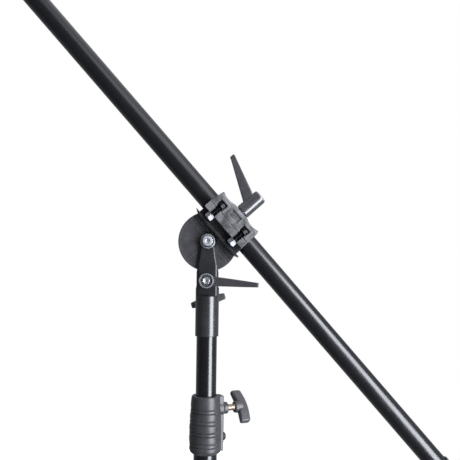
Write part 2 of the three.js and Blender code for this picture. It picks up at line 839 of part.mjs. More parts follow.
function yoke() {
  const roundTop = forkEyeRadius + 2;
  const fork = plate(forkOutline(), forkHalfDepth, forkEdge, 8).intersect(
    rod(socketRadius, -socketFlatEnd - 4, roundTop, tubeFacets),
  );
  const socket = turned([
    [0, -socketBottom],
    [socketRadius - smallChamfer, -socketBottom],
    [socketRadius, smallChamfer - socketBottom],
    [socketRadius, -socketFlatEnd],
    [0, -socketFlatEnd],
  ]);
  const eye = rodAlongY(eyeBossRadius, -eyeBossHalfDepth, eyeBossHalfDepth, hubFacets);
  const knobBoss = rodShape(bossRadius, riserRadius + 1, socketRadius + yokeKnobBoss).rotateX(-Math.PI / 2);
  const knobHole = rodShape(knobStudRadius + boltGap, 0, 2 * socketRadius).rotateX(-Math.PI / 2);
  const reach = 2 * eyeBossHalfDepth;
  const brakeHole = rodShape(pivotBoltRadius + boltGap, -reach, reach).rotateX(-Math.PI / 2);
  const body = join(fork, socket, eye, solidOf(knobBoss.translate(0, 0, -yokeKnobDrop)));
  return cut(
    body,
    bar(slotOutline(), 2 * socketRadius, 4),
    rod(riserRadius + slideGap, -socketBottom - 1, -socketBoreTop, tubeFacets),
    rodAlongY(pivotBoltRadius + boltGap, -reach, reach),
    rodAlongY(eyeSeatRadius, -reach, -eyeSeatHalfDepth),
    rodAlongY(nutFlats / Math.sqrt(3) + seatGap, eyeSeatHalfDepth, reach),
    solidOf(brakeHole.translate(0, 0, -brakeDrop)),
    solidOf(knobHole.translate(0, 0, -yokeKnobDrop)),
  );
}

// Ring along Y between two radii
function ringAlongY(name, inner, outer, low, high, material) {
  const shape = turnedShape([[inner, low], [outer, low], [outer, high], [inner, high]], boltFacets);
  return meshOf(name, solidOf(shape.rotateX(-Math.PI / 2)), material);
}

function nutAlongY(name, low, drop) {
  const shape = cut(
    hexagon(nutFlats, low, low + nutHeight),
    rod(pivotBoltRadius + boltGap, low - 1, low + nutHeight + 1),
  );
  const mesh = meshOf(name, shape, zinc());
  mesh.rotation.x = -Math.PI / 2;
  mesh.position.z = -drop;
  return mesh;
}

// Swivel head: forked socket, pivot bolt, brake lever and the knob behind the socket
function head() {
  const group = new THREE.Group();
  group.position.z = pivotHeight;
  group.add(meshOf("yoke", yoke(), satinBlack()));

  const headLow = eyeSeatHalfDepth + seatGap;
  const headTop = headLow + boltHeadHeight;
  const tail = headLow + nutHeight + boltTail;
  const bolt = cut(
    turned([
      [0, -tail],
      [pivotBoltRadius, -tail],
      [pivotBoltRadius, headLow],
      [boltHeadRadius, headLow],
      [boltHeadRadius, headTop - smallChamfer],
      [boltHeadRadius - smallChamfer, headTop],
      [0, headTop],
    ], hubFacets),
    hexagon(boltKey, headTop - boltKeyDepth, headTop + 1),
  );
  const boltMesh = meshOf("pivot_bolt", bolt, zinc());
  boltMesh.rotation.x = Math.PI / 2;
  group.add(boltMesh);
  group.add(nutAlongY("pivot_nut", headLow, 0));
  const washerLow = discHalfThickness + seatGap;
  const washerHigh = washerLow + frictionWasherThickness;
  const washerBore = pivotBoltRadius + boltGap;
  const frictionWasher = (name, low, high) =>
    ringAlongY(name, washerBore, frictionWasherRadius, low, high, rubber());
  group.add(frictionWasher("friction_washer_back", washerLow, washerHigh));
  group.add(frictionWasher("friction_washer_front", -washerHigh, -washerLow));

  const brakeSeat = forkHalfDepth + seatGap;
  const brakeFace = brakeSeat + brakeWasherThickness;
  const washer = ringAlongY("brake_washer", washerBore, brakeWasherRadius, -brakeFace, -brakeSeat, zinc());
  washer.position.z = -brakeDrop;
  group.add(washer, nutAlongY("brake_nut", brakeSeat, brakeDrop));
  const leverBase = brakeFace + leverLift;
  const brake = lever("brake_lever", -leverBase - brakeSeat - nutHeight - boltTail);
  brake.rotation.set(Math.PI / 2, 0, -rad(brakeLeverFall));
  brake.position.set(0, -leverBase, -brakeDrop);
  group.add(brake);

  const knobSeat = socketRadius + yokeKnobBoss;
  const studStart = riserRadius + 2 * seatGap - knobSeat;
  const knobGroup = knob("yoke", studStart, yokeKnobRoll);
  knobGroup.position.z = knobSeat;
  group.add(sideways(knobGroup, Math.PI / 2, -yokeKnobDrop));
  return group;
}

// Friction disc with the flange that carries the clamp, about the tilt axis
function frictionDisc() {
  const flangeLow = flangeTop - flangeThickness;
  const disc = rodAlongY(discRadius, -discHalfThickness, discHalfThickness, discFacets);
  const below = block(-2 * discRadius, 2 * discRadius, -beyond, beyond, -2 * discRadius, flangeLow + 1);
  const rimOuter = discHalfThickness + discRimProud;
  const rim = cut(
    rodAlongY(discRadius, -rimOuter, rimOuter, discFacets),
    rodAlongY(discRadius - discRimWidth, -rimOuter - 1, rimOuter + 1, discFacets),
  );
  const ribs = [];
  for (let i = 0; i < discRibs; i += 1) {
    const rib = new THREE.BoxGeometry(discRadius - discHubRadius - 1, 2 * rimOuter, discRibWidth);
    rib.translate((discRadius + discHubRadius - 1) / 2, 0, 0);
    ribs.push(solidOf(rib.rotateY((i / discRibs) * 2 * Math.PI)));
  }
  const chord = Math.sqrt(discRadius ** 2 - flangeLow ** 2);
  const flange = polygon([
    [-flangeHalfLength, flangeTop],
    [-flangeHalfLength, flangeTop - flangeTipThickness],
    [1 - chord, flangeLow - 1],
    [chord - 1, flangeLow - 1],
    [flangeHalfLength, flangeTop - flangeTipThickness],
    [flangeHalfLength, flangeTop],
  ]);
  const bandLow = flangeTop - flangeBand;
  const bandChord = Math.sqrt(discRadius ** 2 - bandLow ** 2);
  const band = cut(
    block(-bandChord, bandChord, -flangeBandHalfThickness, flangeBandHalfThickness, bandLow, flangeLow),
    rodAlongY(discHubRadius, -beyond, beyond, hubFacets),
  );
  const round = rodAlongY(discRadius, -beyond, beyond, discFacets);
  const hub = rodAlongY(discHubRadius - bite, -discHalfThickness, discHalfThickness, hubFacets);
  const face = join(disc, rim, ...ribs).intersect(below);
  const screwHoles = saddleScrewPlaces().map(([x, y]) => {
    const sink = flangeLow - 1;
    const hole = turnedShape([
      [0, sink - 1],
      [saddleScrewHead + boltGap, sink - 1],
      [saddleScrewHead + boltGap, sink + saddleSinkLip],
      [saddleScrewRadius + boltGap, sink + saddleSinkLip + saddleSinkCone],
      [saddleScrewRadius + boltGap, flangeTop + 1],
      [0, flangeTop + 1],
    ], boltFacets);
    return solidOf(hole.translate(x, y, 0));
  });
  return cut(
    join(face, band.intersect(round), hub, plate(flange, flangeHalfDepth)),
    rodAlongY(pivotBoltRadius + boltGap, -beyond, beyond),
    ...screwHoles,
  );
}

function saddleScrewPlaces() {
  const x = saddleScrewPitch / 2;
  return [[x, saddleScrewDepth], [x, -saddleScrewDepth], [-x, saddleScrewDepth], [-x, -saddleScrewDepth]];
}

function clampScrewPlaces() {
  const x = clampScrewPitch / 2;
  return [[x, clampScrewDepth], [x, -clampScrewDepth], [-x, clampScrewDepth], [-x, -clampScrewDepth]];
}

// Upper half of the clamp: saddle-shaped top, middle boss, window and nut pockets
function clampCap() {
  const outline = new THREE.Shape();
  const low = clampSeam / 2;
  const dip = clampTop - 2 * clampSaddleDip;
  const middle = (clampHalfLength + clampBossHalf) / 2;
  outline.moveTo(-clampHalfLength, low);
  outline.lineTo(clampHalfLength, low);
  outline.lineTo(clampHalfLength - clampEndLean, clampTop);
  outline.quadraticCurveTo(middle, dip, clampBossHalf + clampBossEdge, clampTop - clampBossEdge);
  outline.lineTo(clampBossHalf, clampTop);
  outline.lineTo(-clampBossHalf, clampTop);
  outline.lineTo(-clampBossHalf - clampBossEdge, clampTop - clampBossEdge);
  outline.quadraticCurveTo(-middle, dip, clampEndLean - clampHalfLength, clampTop);
  outline.closePath();
  const section = new THREE.Shape();
  const shoulder = clampTop - clampShoulder;
  section.moveTo(-clampHalfDepth, low - 1);
  section.lineTo(clampHalfDepth, low - 1);
  section.lineTo(clampHalfDepth, shoulder);
  section.quadraticCurveTo(clampHalfDepth, clampTop, clampHalfDepth - clampShoulderSpread, clampTop + skin);
  section.lineTo(clampShoulderSpread - clampHalfDepth, clampTop + skin);
  section.quadraticCurveTo(-clampHalfDepth, clampTop, -clampHalfDepth, shoulder);
  section.closePath();
  const body = plate(outline, clampHalfDepth, 0, 8).intersect(bar(section, clampHalfLength + 1, 6));
  const bore = rodShape(boomRadius + slideGap, -beyond, beyond, tubeFacets).rotateY(Math.PI / 2);
  const nutLow = clampScrewTop - clampNutHeight - seatGap;
  const channels = clampScrewPlaces().flatMap(([x, y]) => {
    const [inner, outer] = y > 0 ? [y, clampHalfDepth + 1] : [-clampHalfDepth - 1, y];
    const nutHalf = clampNutFlats / 2 + boltGap;
    const nutDeep = clampNutFlats / Math.sqrt(3) + boltGap;
    const [nutInner, nutOuter] = y > 0 ? [y - nutDeep, outer] : [inner, y + nutDeep];
    return [
      block(x - clampChannelHalf, x + clampChannelHalf, inner, outer, 0, nutLow + 1),
      block(x - nutHalf, x + nutHalf, nutInner, nutOuter, nutLow, clampPocketTop),
      solidOf(rodShape(clampScrewRadius + boltGap, 0, nutLow + 1).translate(x, y, 0)),
    ];
  });
  const window = (from, to) => block(-windowHalfLength, windowHalfLength, from, to, windowLow, windowHigh);
  const padRoof = boomRadius + 2 * seatGap + clampPadThickness;
  return cut(
    body,
    solidOf(bore),
    ...channels,
    window(-clampHalfDepth - 1, windowDepth - clampHalfDepth),
    window(clampHalfDepth - windowDepth, clampHalfDepth + 1),
    rod(clampPadRadius + boltGap, 0, padRoof),
    rod(pivotBoltRadius + boltGap, 0, clampTop + 1),
  );
}

// Lower half of the clamp: ears with open channels and the set-back foot on the flange
function clampBase() {
  const seatZ = flangeTop + seatGap - boomOffset;
  const section = polygon([
    [-clampHalfDepth, -clampSeam / 2],
    [-clampHalfDepth, -clampEarDrop],
    [-clampFootHalfDepth, -clampEarDrop],
    [-clampFootHalfDepth, seatZ],
    [clampFootHalfDepth, seatZ],
    [clampFootHalfDepth, -clampEarDrop],
    [clampHalfDepth, -clampEarDrop],
    [clampHalfDepth, -clampSeam / 2],
  ]);
  const bore = rodShape(boomRadius + slideGap, -beyond, beyond, tubeFacets).rotateY(Math.PI / 2);
  const channels = clampScrewPlaces().flatMap(([x, y]) => {
    const [inner, outer] = y > 0 ? [y, clampHalfDepth + 1] : [-clampHalfDepth - 1, y];
    return [
      block(x - clampChannelHalf, x + clampChannelHalf, inner, outer, -clampEarDrop - 1, 1),
      solidOf(rodShape(clampScrewRadius + boltGap, -clampEarDrop - 1, 1).translate(x, y, 0)),
      solidOf(rodShape(clampScrewFlange + seatGap, seatZ - 1, -clampEarDrop).translate(x, y, 0)),
    ];
  });
  const screwHoles = saddleScrewPlaces().map(([x, y]) => {
    const roof = flangeTop - boomOffset + saddleScrewLength;
    const hole = rodShape(saddleScrewRadius + boltGap, seatZ - 1, roof);
    return solidOf(hole.translate(x, y, 0));
  });
  return cut(bar(section, clampHalfLength), solidOf(bore), ...channels, ...screwHoles);
}

// Clamp screw with a flanged hexagon head below the ear, along +Z
function clampScrew(name) {
  const seat = -clampEarDrop - seatGap;
  const flangeLow = seat - clampScrewFlangeHeight;
  const headLow = flangeLow - clampScrewHeadHeight;
  const shank = turned([
    [0, flangeLow],
    [clampScrewFlange, flangeLow],
    [clampScrewFlange, seat],
    [clampScrewRadius, seat],
    [clampScrewRadius, clampScrewTop - smallChamfer],
    [clampScrewRadius - smallChamfer, clampScrewTop],
    [0, clampScrewTop],
  ], boltFacets);
  return meshOf(name, join(hexagon(clampNutFlats, headLow, flangeLow + bite), shank), zinc());
}

function clampNut(name) {
  const low = clampScrewTop - clampNutHeight;
  const hole = rod(clampScrewRadius + boltGap, 0, 2 * clampScrewTop);
  return meshOf(name, cut(hexagon(clampNutFlats, low, clampScrewTop), hole), zinc());
}

// Countersunk screw from below the flange into the clamp's foot, along +Z from the tilt axis
function saddleScrew(name) {
  const sink = flangeTop - flangeThickness - 1 + seatGap;
  return meshOf(name, turned([
    [0, sink],
    [saddleScrewHead, sink],
    [saddleScrewRadius, sink + saddleSinkCone],
    [saddleScrewRadius, flangeTop + saddleScrewLength - seatGap],
    [0, flangeTop + saddleScrewLength - seatGap],
  ], boltFacets), zinc());
}

// Tilting head: friction disc, clamp halves, their fasteners and the boom lever
function boomHead() {
  const group = new THREE.Group();
  group.add(meshOf("pivot_disc", frictionDisc(), satinBlack()));
  saddleScrewPlaces().forEach(([x, y], i) => {
    const screw = saddleScrew(`saddle_screw_${i + 1}`);
    screw.position.set(x, y, 0);
    group.add(screw);
  });
  const clamp = new THREE.Group();
  clamp.position.z = boomOffset;
  clamp.add(meshOf("clamp_base", clampBase(), castGrey()));
  clamp.add(meshOf("clamp_cap", clampCap(), castGrey()));
  clampScrewPlaces().forEach(([x, y], i) => {
    const screw = clampScrew(`clamp_screw_${i + 1}`);
    const nut = clampNut(`clamp_nut_${i + 1}`);
    screw.position.set(x, y, 0);
    nut.position.set(x, y, 0);
    clamp.add(screw, nut);
  });
  const padLow = boomRadius + seatGap;
  const padHigh = padLow + clampPadThickness;
  clamp.add(pressurePad("clamp_pad", clampPadRadius, padLow, padHigh, rubber()));
  const leverBase = clampTop + leverLift;
  const boomLever = lever("boom_lever", padHigh + seatGap - leverBase);
  boomLever.position.z = leverBase;
  boomLever.rotation.z = Math.PI;
  clamp.add(boomLever);
  group.add(clamp);
  return group;
}

// Centre line of the counterweight hook in X and Z: eye round the pin at the origin, slanting leg, open bow
function hookPath() {
  const eye = hookPinRadius + hookEyeGap + hookWire;
  const bowDrop = eye + hookShank + hookBend;
  const tangent = -Math.asin((hookBend - eye) / bowDrop);
  const points = [];
  const arc = (radius, drop, from, to, steps) => {
    for (let i = 0; i <= steps; i += 1) {
      const angle = from + ((to - from) * i) / steps;
      points.push(new THREE.Vector3(radius * Math.cos(angle), 0, radius * Math.sin(angle) - drop));
    }
  };
  arc(eye, 0, rad(hookEyeEnd), tangent, 12);
  const legTop = points.at(-1);
  const legEnd = new THREE.Vector3(hookBend, 0, 0).applyAxisAngle(new THREE.Vector3(0, 1, 0), -tangent);
  legEnd.z -= bowDrop;
  points.push(legTop.clone().lerp(legEnd, 1 / 3), legTop.clone().lerp(legEnd, 2 / 3));
  arc(hookBend, bowDrop, tangent, rad(hookTip), 10);
  return new THREE.CatmullRomCurve3(points, false, "centripetal");
}

function hook() {
  const wire = new THREE.Shape();
  wire.absarc(0, 0, hookWire, 0, 2 * Math.PI, false);
  const geometry = new THREE.ExtrudeGeometry(wire, {
    extrudePath: hookPath(),
    steps: 44,
    curveSegments: 3,
    bevelEnabled: false,
  });
  const mesh = meshOf("counterweight_hook", solidOf(geometry), zinc());
  mesh.rotation.y = -rad(boomAngle);
  return mesh;
}

// Rear cap over the boom tube, with two lugs for the hook's pin, along +Z from the tube's end
function rearCap() {
  const inner = boomRadius + seatGap;
  const outer = inner + capWall;
  const shell = turned([
    [inner, -capLength],
    [outer - smallChamfer, -capLength],
    [outer, smallChamfer - capLength],
    [outer, capEnd - capEdge],
    [outer - capEdge, capEnd],
    [0, capEnd],
    [0, seatGap],
    [inner, seatGap],
  ]);
  const lug = new THREE.Shape();
  lug.moveTo(-lugRadius, capEnd - 1);
  lug.lineTo(lugRadius, capEnd - 1);
  lug.lineTo(lugRadius, capEnd + lugLength);
  lug.absarc(0, capEnd + lugLength, lugRadius, 0, Math.PI, false);
  lug.closePath();
  const outside = lugHalfGap + lugThickness;
  const gap = block(-outer, outer, -lugHalfGap, lugHalfGap, capEnd, capEnd + 3 * lugLength);
  const pinHole = rodShape(hookPinRadius + boltGap, -outer, outer).rotateX(-Math.PI / 2);
  pinHole.translate(0, 0, capEnd + lugLength);
  const lugs = cut(plate(lug, outside, chamfer, 8), gap, solidOf(pinHole));
  return join(shell, lugs);
}

// Pin across the lugs, along +Z with its head at the top
function hookPin() {
  const outside = lugHalfGap + lugThickness;
  return turned([
    [0, -outside - 1],
    [hookPinRadius, -outside - 1],
    [hookPinRadius, outside + seatGap],
    [hookPinHead, outside + seatGap],
    [hookPinHead - tubeChamfer, outside + seatGap + hookPinHeadHeight],
    [0, outside + seatGap + hookPinHeadHeight],
  ], boltFacets);
}

// Light stud plugged into the extension's front end, along +Z from the tube's end
function spigot() {
  const plug = extensionRadius - extensionWall - seatGap;
  const base = seatGap;
  const face = base + spigotFlangeThickness;
  const top = face + spigotLength;
  const [waistStart, waistTop, waistBottom, waistEnd] = spigotWaistShares;
  return turned([
    [0, base - spigotPlug],
    [plug - chamfer, base - spigotPlug],
    [plug, base - spigotPlug + chamfer],
    [plug, base],
    [spigotFlange, base],
    [spigotFlange, face - chamfer],
    [spigotFlange - chamfer, face],
    [spigotRadius, face],
    [spigotRadius, face + spigotLength * waistStart],
    [spigotWaist, face + spigotLength * waistTop],
    [spigotWaist, face + spigotLength * waistBottom],
    [spigotRadius, face + spigotLength * waistEnd],
    [spigotRadius, top - 1],
    [spigotRadius - 1, top],
    [0, top],
  ], boltFacets + 4);
}

// Boom along +Z towards its front end: tube, front collar with its knob, extension, rear cap and hook
function boom() {
  const group = new THREE.Group();
  group.rotation.y = -Math.PI / 2;
  const boomInner = boomRadius - boomWall;
  const extensionInner = extensionRadius - extensionWall;
  const grip = frontCollarLength - frontKnobDrop - frontTubeStop;
  const collarBottom = boomFront - grip;
  const spec = {
    length: frontCollarLength,
    radius: frontCollarRadius,
    swell: frontCollarSwell,
    pairs: frontRibPairs,
    ribEnd: frontRibEnd,
    slider: extensionRadius,
    holder: boomRadius,
    grip,
    knobDrop: frontKnobDrop,
    pinRise: frontPinRise,
  };
  const pinHeight = collarBottom + frontPinRise;
  const pinHole = rodShape(fixingScrewRadius + boltGap, 0, boomRadius + 2, 12).rotateY(Math.PI / 2);
  const boomSolid = cut(
    tube(boomRadius, boomInner, -boomRear, boomFront),
    solidOf(pinHole.translate(0, 0, pinHeight)),
  );
  group.add(meshOf("boom_tube", boomSolid, satinBlack()));
  const collarMesh = meshOf("front_collar", collar(spec), castGrey());
  collarMesh.position.z = collarBottom;
  group.add(collarMesh);
  group.add(sideways(fixingScrew("front_collar_screw", spec, boomInner), 0, pinHeight));
  const knobSeat = frontCollarRadius + railReach + bossReach;
  const padStart = extensionRadius + seatGap;
  const knobGroup = knob("front", padStart + knobPadLength + seatGap - knobSeat, frontKnobRoll);
  knobGroup.position.z = knobSeat;
  const assembly = new THREE.Group();
  const pad = pressurePad("front_brake_pad", knobStudRadius, padStart, padStart + knobPadLength, rubber());
  assembly.add(knobGroup, pad);
  group.add(sideways(assembly, 0, collarBottom + frontCollarLength - frontKnobDrop));

  const extensionEnd = collarBottom + frontCollarLength + extensionShow;
  const extensionStart = boomFront - extensionInside;
  const extension = tube(extensionRadius, extensionInner, extensionStart, extensionEnd);
  group.add(meshOf("extension_tube", extension, blackTube()));
  const plug = extensionInner - seatGap;
  const bushFace = extensionStart - seatGap;
  group.add(meshOf("extension_bush", turned([
    [plug - 2, bushFace - riserBushFlange],
    [boomInner - bushGap, bushFace - riserBushFlange],
    [boomInner - bushGap, bushFace],
    [plug, bushFace],
    [plug, bushFace + riserBushLength],
    [plug - 2, bushFace + riserBushLength],
  ], bushFacets), nylonGrey()));
  const spigotMesh = meshOf("spigot", spigot(), zinc());
  spigotMesh.position.z = extensionEnd;
  group.add(spigotMesh);

  const rear = new THREE.Group();
  rear.rotation.x = Math.PI;
  rear.position.z = -boomRear;
  rear.add(meshOf("boom_rear_cap", rearCap(), nylonGrey()));
  const pinMesh = meshOf("hook_pin", hookPin(), zinc());
  pinMesh.rotation.x = -Math.PI / 2;
  pinMesh.position.z = capEnd + lugLength;
  rear.add(pinMesh);
  group.add(rear);
  return group;
}

const boomArm = new THREE.Group();
const tilting = new THREE.Group();
tilting.position.z = pivotHeight;
tilting.rotation.y = rad(boomAngle);
const boomAxis = new THREE.Group();
boomAxis.position.z = boomOffset;
const hookMesh = hook();
hookMesh.position.x = boomRear + capEnd + lugLength;
boomAxis.add(boom(), hookMesh);
tilting.add(boomHead(), boomAxis);
boomArm.add(mast(), riser(), head(), tilting);

export default boomArm;
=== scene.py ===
"""Looks of an overhead boom arm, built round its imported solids.

Sizes are millimetres, as on a drawing, and shaped() turns them into metres. Each piece is made in a frame of
its own and then placed in the part's frame.
"""

import logging
import math
from dataclasses import dataclass, field, replace
from enum import Enum
from typing import Callable, Iterable, Sequence

import bmesh
import bpy
from mathutils import Matrix, Vector


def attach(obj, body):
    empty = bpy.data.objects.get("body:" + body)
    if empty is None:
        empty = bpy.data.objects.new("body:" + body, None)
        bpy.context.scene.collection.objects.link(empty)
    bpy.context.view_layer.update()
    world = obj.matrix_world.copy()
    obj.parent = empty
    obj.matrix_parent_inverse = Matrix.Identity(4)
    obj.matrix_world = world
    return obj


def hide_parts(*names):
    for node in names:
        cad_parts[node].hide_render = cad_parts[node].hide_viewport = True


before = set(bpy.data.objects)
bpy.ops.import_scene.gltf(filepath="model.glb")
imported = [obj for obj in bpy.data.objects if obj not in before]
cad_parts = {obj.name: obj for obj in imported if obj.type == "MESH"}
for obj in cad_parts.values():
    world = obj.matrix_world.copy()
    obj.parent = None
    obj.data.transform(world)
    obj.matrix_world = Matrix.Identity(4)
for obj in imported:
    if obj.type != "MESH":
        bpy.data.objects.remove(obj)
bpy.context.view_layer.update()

LOG = logging.getLogger("boom_arm")
MM = 0.001
DAYLIGHT = (0.9, 0.935, 1.0)
LARGE_FACETS = 96
SMALL_FACETS = 48
DISC_FACETS = 144
BOLT_GAP = 0.2  # between a bolt, stud or pin and its hole
NUT_GAP = 0.15  # between a thread and its nut
PAST = 1.0  # how far a cutter reaches past what it cuts
THROUGH = 60.0  # half the length of a cutter that goes right through a piece
FLAT_ANGLE = math.radians(38)  # edges sharper than this stay crisp in the shading
STRAIGHT = math.radians(163)  # corners flatter than this are left alone

Pair = tuple[float, float]
Point = tuple[float, float, float]
Colour = tuple[float, float, float]
Piece = bpy.types.Object
Socket = bpy.types.NodeSocket
Warp = Callable[[float, float, float], float]


class Body(str, Enum):
    """Bodies of the part that pieces ride on."""

    MAST = "mast"
    MAST_KNOB = "mast_knob"
    RISER = "riser"
    HEAD = "head"
    YOKE_KNOB = "yoke_knob"
    BRAKE_STUD = "brake_stud"
    BRAKE_HANDLE = "brake_handle"
    BOOM_HEAD = "boom_head"
    BOOM_STUD = "boom_stud"
    BOOM_HANDLE = "boom_handle"
    BOOM = "boom"
    FRONT_KNOB = "front_knob"
    EXTENSION = "extension"
    HOOK = "hook"


class Slot(str, Enum):
    """Material slots of the part's record."""

    GLOSS_TUBE = "gloss_black_tube"
    SATIN_TUBE = "satin_black_tube"
    SATIN_CASTING = "satin_black_casting"
    RIBBED_CASTING = "ribbed_grey_casting"
    CLAMP_CASTING = "grey_clamp_casting"
    NYLON = "grey_nylon"
    LEVER = "lever_casting"
    STEEL = "zinc_steel"
    BRASS = "brass_stud"
    RUBBER = "black_rubber"


class Along(Enum):
    """Axis that a drawn outline is thickened along, with the places of its two drawn axes."""

    X = (1, 2, 0)
    Y = (0, 2, 1)
    Z = (0, 1, 2)


class Work(str, Enum):
    """Ways to put closed shapes together."""

    JOIN = "UNION"
    CUT = "DIFFERENCE"
    COMMON = "INTERSECT"


def linear(red: int, green: int, blue: int) -> Colour:
    """Turns a colour given in display values from 0 to 255 into scene values."""
    shares = [value / 255 for value in (red, green, blue)]
    return tuple(s / 12.92 if s <= 0.04045 else ((s + 0.055) / 1.055) ** 2.4 for s in shares)


def shaped(name: str, points: Sequence[Sequence[float]], faces: Sequence[Sequence[int]]) -> Piece:
    """Makes an object from points in millimetres.

    Args:
        name: Name of the object.
        points: Corners in millimetres.
        faces: Corner numbers of each face.

    Returns:
        The object, in metres, with its faces turned outward.
    """
    mesh = bpy.data.meshes.new(name)
    mesh.from_pydata([[value * MM for value in point] for point in points], [], faces)
    shell = bmesh.new()
    shell.from_mesh(mesh)
    bmesh.ops.recalc_face_normals(shell, faces=shell.faces)
    shell.to_mesh(mesh)
    shell.free()
    thing = bpy.data.objects.new(name, mesh)
    bpy.context.scene.collection.objects.link(thing)
    return thing


def rounded(corners: Sequence[Pair], radius: float, closed: bool = True, steps: int = 4) -> list[Pair]:
    """Rounds the corners of an outline.

    Args:
        corners: Outline in millimetres.
        radius: Radius of each corner, made smaller where a side is short.
        closed: Whether the last corner joins the first.
        steps: Straight pieces in each rounded corner.

    Returns:
        The outline with an arc at each clear corner.
    """
    made: list[Pair] = []
    count = len(corners)
    for i, corner in enumerate(corners):
        here = Vector(corner)
        before = Vector(corners[i - 1]) - here
        after = Vector(corners[(i + 1) % count]) - here
        at_end = radius <= 0 or (not closed and i in (0, count - 1))
        if at_end or before.length < 1e-6 or after.length < 1e-6 or before.angle(after) > STRAIGHT:
            made.append(tuple(corner))
            continue
        half = before.angle(after) / 2
        reach = min(radius / math.tan(half), 0.45 * before.length, 0.45 * after.length)
        start = here + before.normalized() * reach
        end = here + after.normalized() * reach
        bow = reach * math.tan(half)
        centre = here + (before.normalized() + after.normalized()).normalized() * bow / math.sin(half)
        first = start - centre
        sweep = first.angle_signed(end - centre)
        for step in range(steps + 1):
            turn = Matrix.Rotation(-sweep * step / steps, 2)
            made.append(tuple(centre + turn @ first))
    return made


def turned(
    name: str, profile: Sequence[Pair], facets: int = LARGE_FACETS, edge: float = 0.3, warp: Warp | None = None
) -> Piece:
    """Turns a profile about Z.

    Args:
        name: Name of the object.
        profile: Radius and height of each corner, from axis to axis or closing on itself.
        facets: Flats round one turn.
        edge: Radius of the rounded corners.
        warp: Changes a radius by its own value, its height and its angle.

    Returns:
        The turned object.
    """
    on_axis = profile[0][0] == 0 and profile[-1][0] == 0
    outline = rounded(profile, edge, closed=not on_axis)
    points: list[Point] = []
    rings: list[list[int]] = []
    for radius, height in outline:
        if radius < 1e-6:
            rings.append([len(points)])
            points.append((0.0, 0.0, height))
            continue
        rings.append([len(points) + i for i in range(facets)])
        for i in range(facets):
            angle = math.tau * i / facets
            reach = warp(radius, height, angle) if warp else radius
            points.append((reach * math.cos(angle), reach * math.sin(angle), height))
    pairs = list(zip(rings, rings[1:])) + ([] if on_axis else [(rings[-1], rings[0])])
    return shaped(name, points, skin_faces(pairs, facets))


def skin_faces(pairs: Iterable[tuple[list[int], list[int]]], facets: int) -> list[tuple[int, ...]]:
    """Faces between pairs of rings, where a ring of one point is a tip.

    Args:
        pairs: Corner numbers of the two rings of each band.
        facets: Corners in a full ring.

    Returns:
        The faces as corner numbers.
    """
    faces: list[tuple[int, ...]] = []
    for low, high in pairs:
        for i in range(facets):
            j = (i + 1) % facets
            if len(low) > 1 and len(high) > 1:
                faces.append((low[i], low[j], high[j], high[i]))
            elif len(high) > 1:
                faces.append((low[0], high[j], high[i]))
            elif len(low) > 1:
                faces.append((low[i], low[j], high[0]))
    return faces


def lofted(name: str, rings: Sequence[Sequence[Sequence[float]]]) -> Piece:
    """Skins rings of equally many points and closes both ends.

    Args:
        name: Name of the object.
        rings: Points of each ring in millimetres.

    Returns:
        The closed object.
    """
    count = len(rings[0])
    points = [point for ring in rings for point in ring]
    numbers = [list(range(i * count, (i + 1) * count)) for i in range(len(rings))]
    faces = skin_faces(zip(numbers, numbers[1:]), count)
    faces += [tuple(reversed(numbers[0])), tuple(numbers[-1])]
    return shaped(name, points, faces)


def inset(outline: Sequence[Pair], distance: float) -> list[Pair]:
    """Moves each corner of a counter-clockwise outline inward.

    Args:
        outline: Outline in millimetres.
        distance: How far its sides move.

    Returns:
        The smaller outline.
    """
    made: list[Pair] = []
    corners = [Vector(corner) for corner in outline]
    for i, corner in enumerate(corners):
        before = (corner - corners[i - 1]).normalized()
        after = (corners[(i + 1) % len(corners)] - corner).normalized()
        inward = Vector((-before.y - after.y, before.x + after.x)).normalized()
        open_share = max(0.4, inward.dot(Vector((-before.y, before.x))))
        made.append(tuple(corner + inward * distance / open_share))
    return made


def prism(
    name: str, outline: list[Pair], low: float, high: float, along: Along = Along.Z, edge: float = 0, lead: float = 0
) -> Piece:
    """Thickens an outline, with rounded or shallowly bevelled edges if asked.

    Args:
        name: Name of the object.
        outline: Outline in millimetres, in the two axes that are left.
        low: Start along the third axis.
        high: End along the third axis.
        along: The third axis.
        edge: Radius of the rounded edges, or height of the bevels.
        lead: Width of the bevels on the two end faces, or zero for rounded edges.

    Returns:
        The closed object.
    """
    area = sum(a[0] * b[1] - b[0] * a[1] for a, b in zip(outline, [*outline[1:], outline[0]]))
    ordered = list(outline) if area > 0 else list(reversed(outline))
    turns = [math.pi / 2 * step / 3 for step in range(4)] if edge else [math.pi / 2]
    eases = [(edge * (1 - math.sin(turn)), edge * (1 - math.cos(turn))) for turn in turns]
    levels = [(depth, low + rise) for depth, rise in eases]
    levels += [(depth, high - rise) for depth, rise in reversed(eases)]
    if lead:
        levels = [(lead, low), (0.0, low + edge), (0.0, high - edge), (lead, high)]
    first, second, third = along.value
    rings = []
    for depth, height in levels:
        ring = []
        for a, b in inset(ordered, depth) if depth else ordered:
            point = [0.0, 0.0, 0.0]
            point[first], point[second], point[third] = a, b, height
            ring.append(point)
        rings.append(ring)
    return lofted(name, rings)


def rectangle(x: Pair, y: Pair) -> list[Pair]:
    """Corners of a rectangle between two limits along each axis, counter-clockwise."""
    return [(x[0], y[0]), (x[1], y[0]), (x[1], y[1]), (x[0], y[1])]


def block(x: Pair, y: Pair, z: Pair) -> Piece:
    """Box between two limits along each axis, as a tool for a cut."""
    return prism("block", rectangle(x, y), *z)


def rod(radius: float, low: float, high: float, facets: int = SMALL_FACETS) -> Piece:
    """Plain cylinder along Z, as a tool for a cut or a join."""
    return turned("rod", rectangle((0, radius), (low, high)), facets, 0.0)


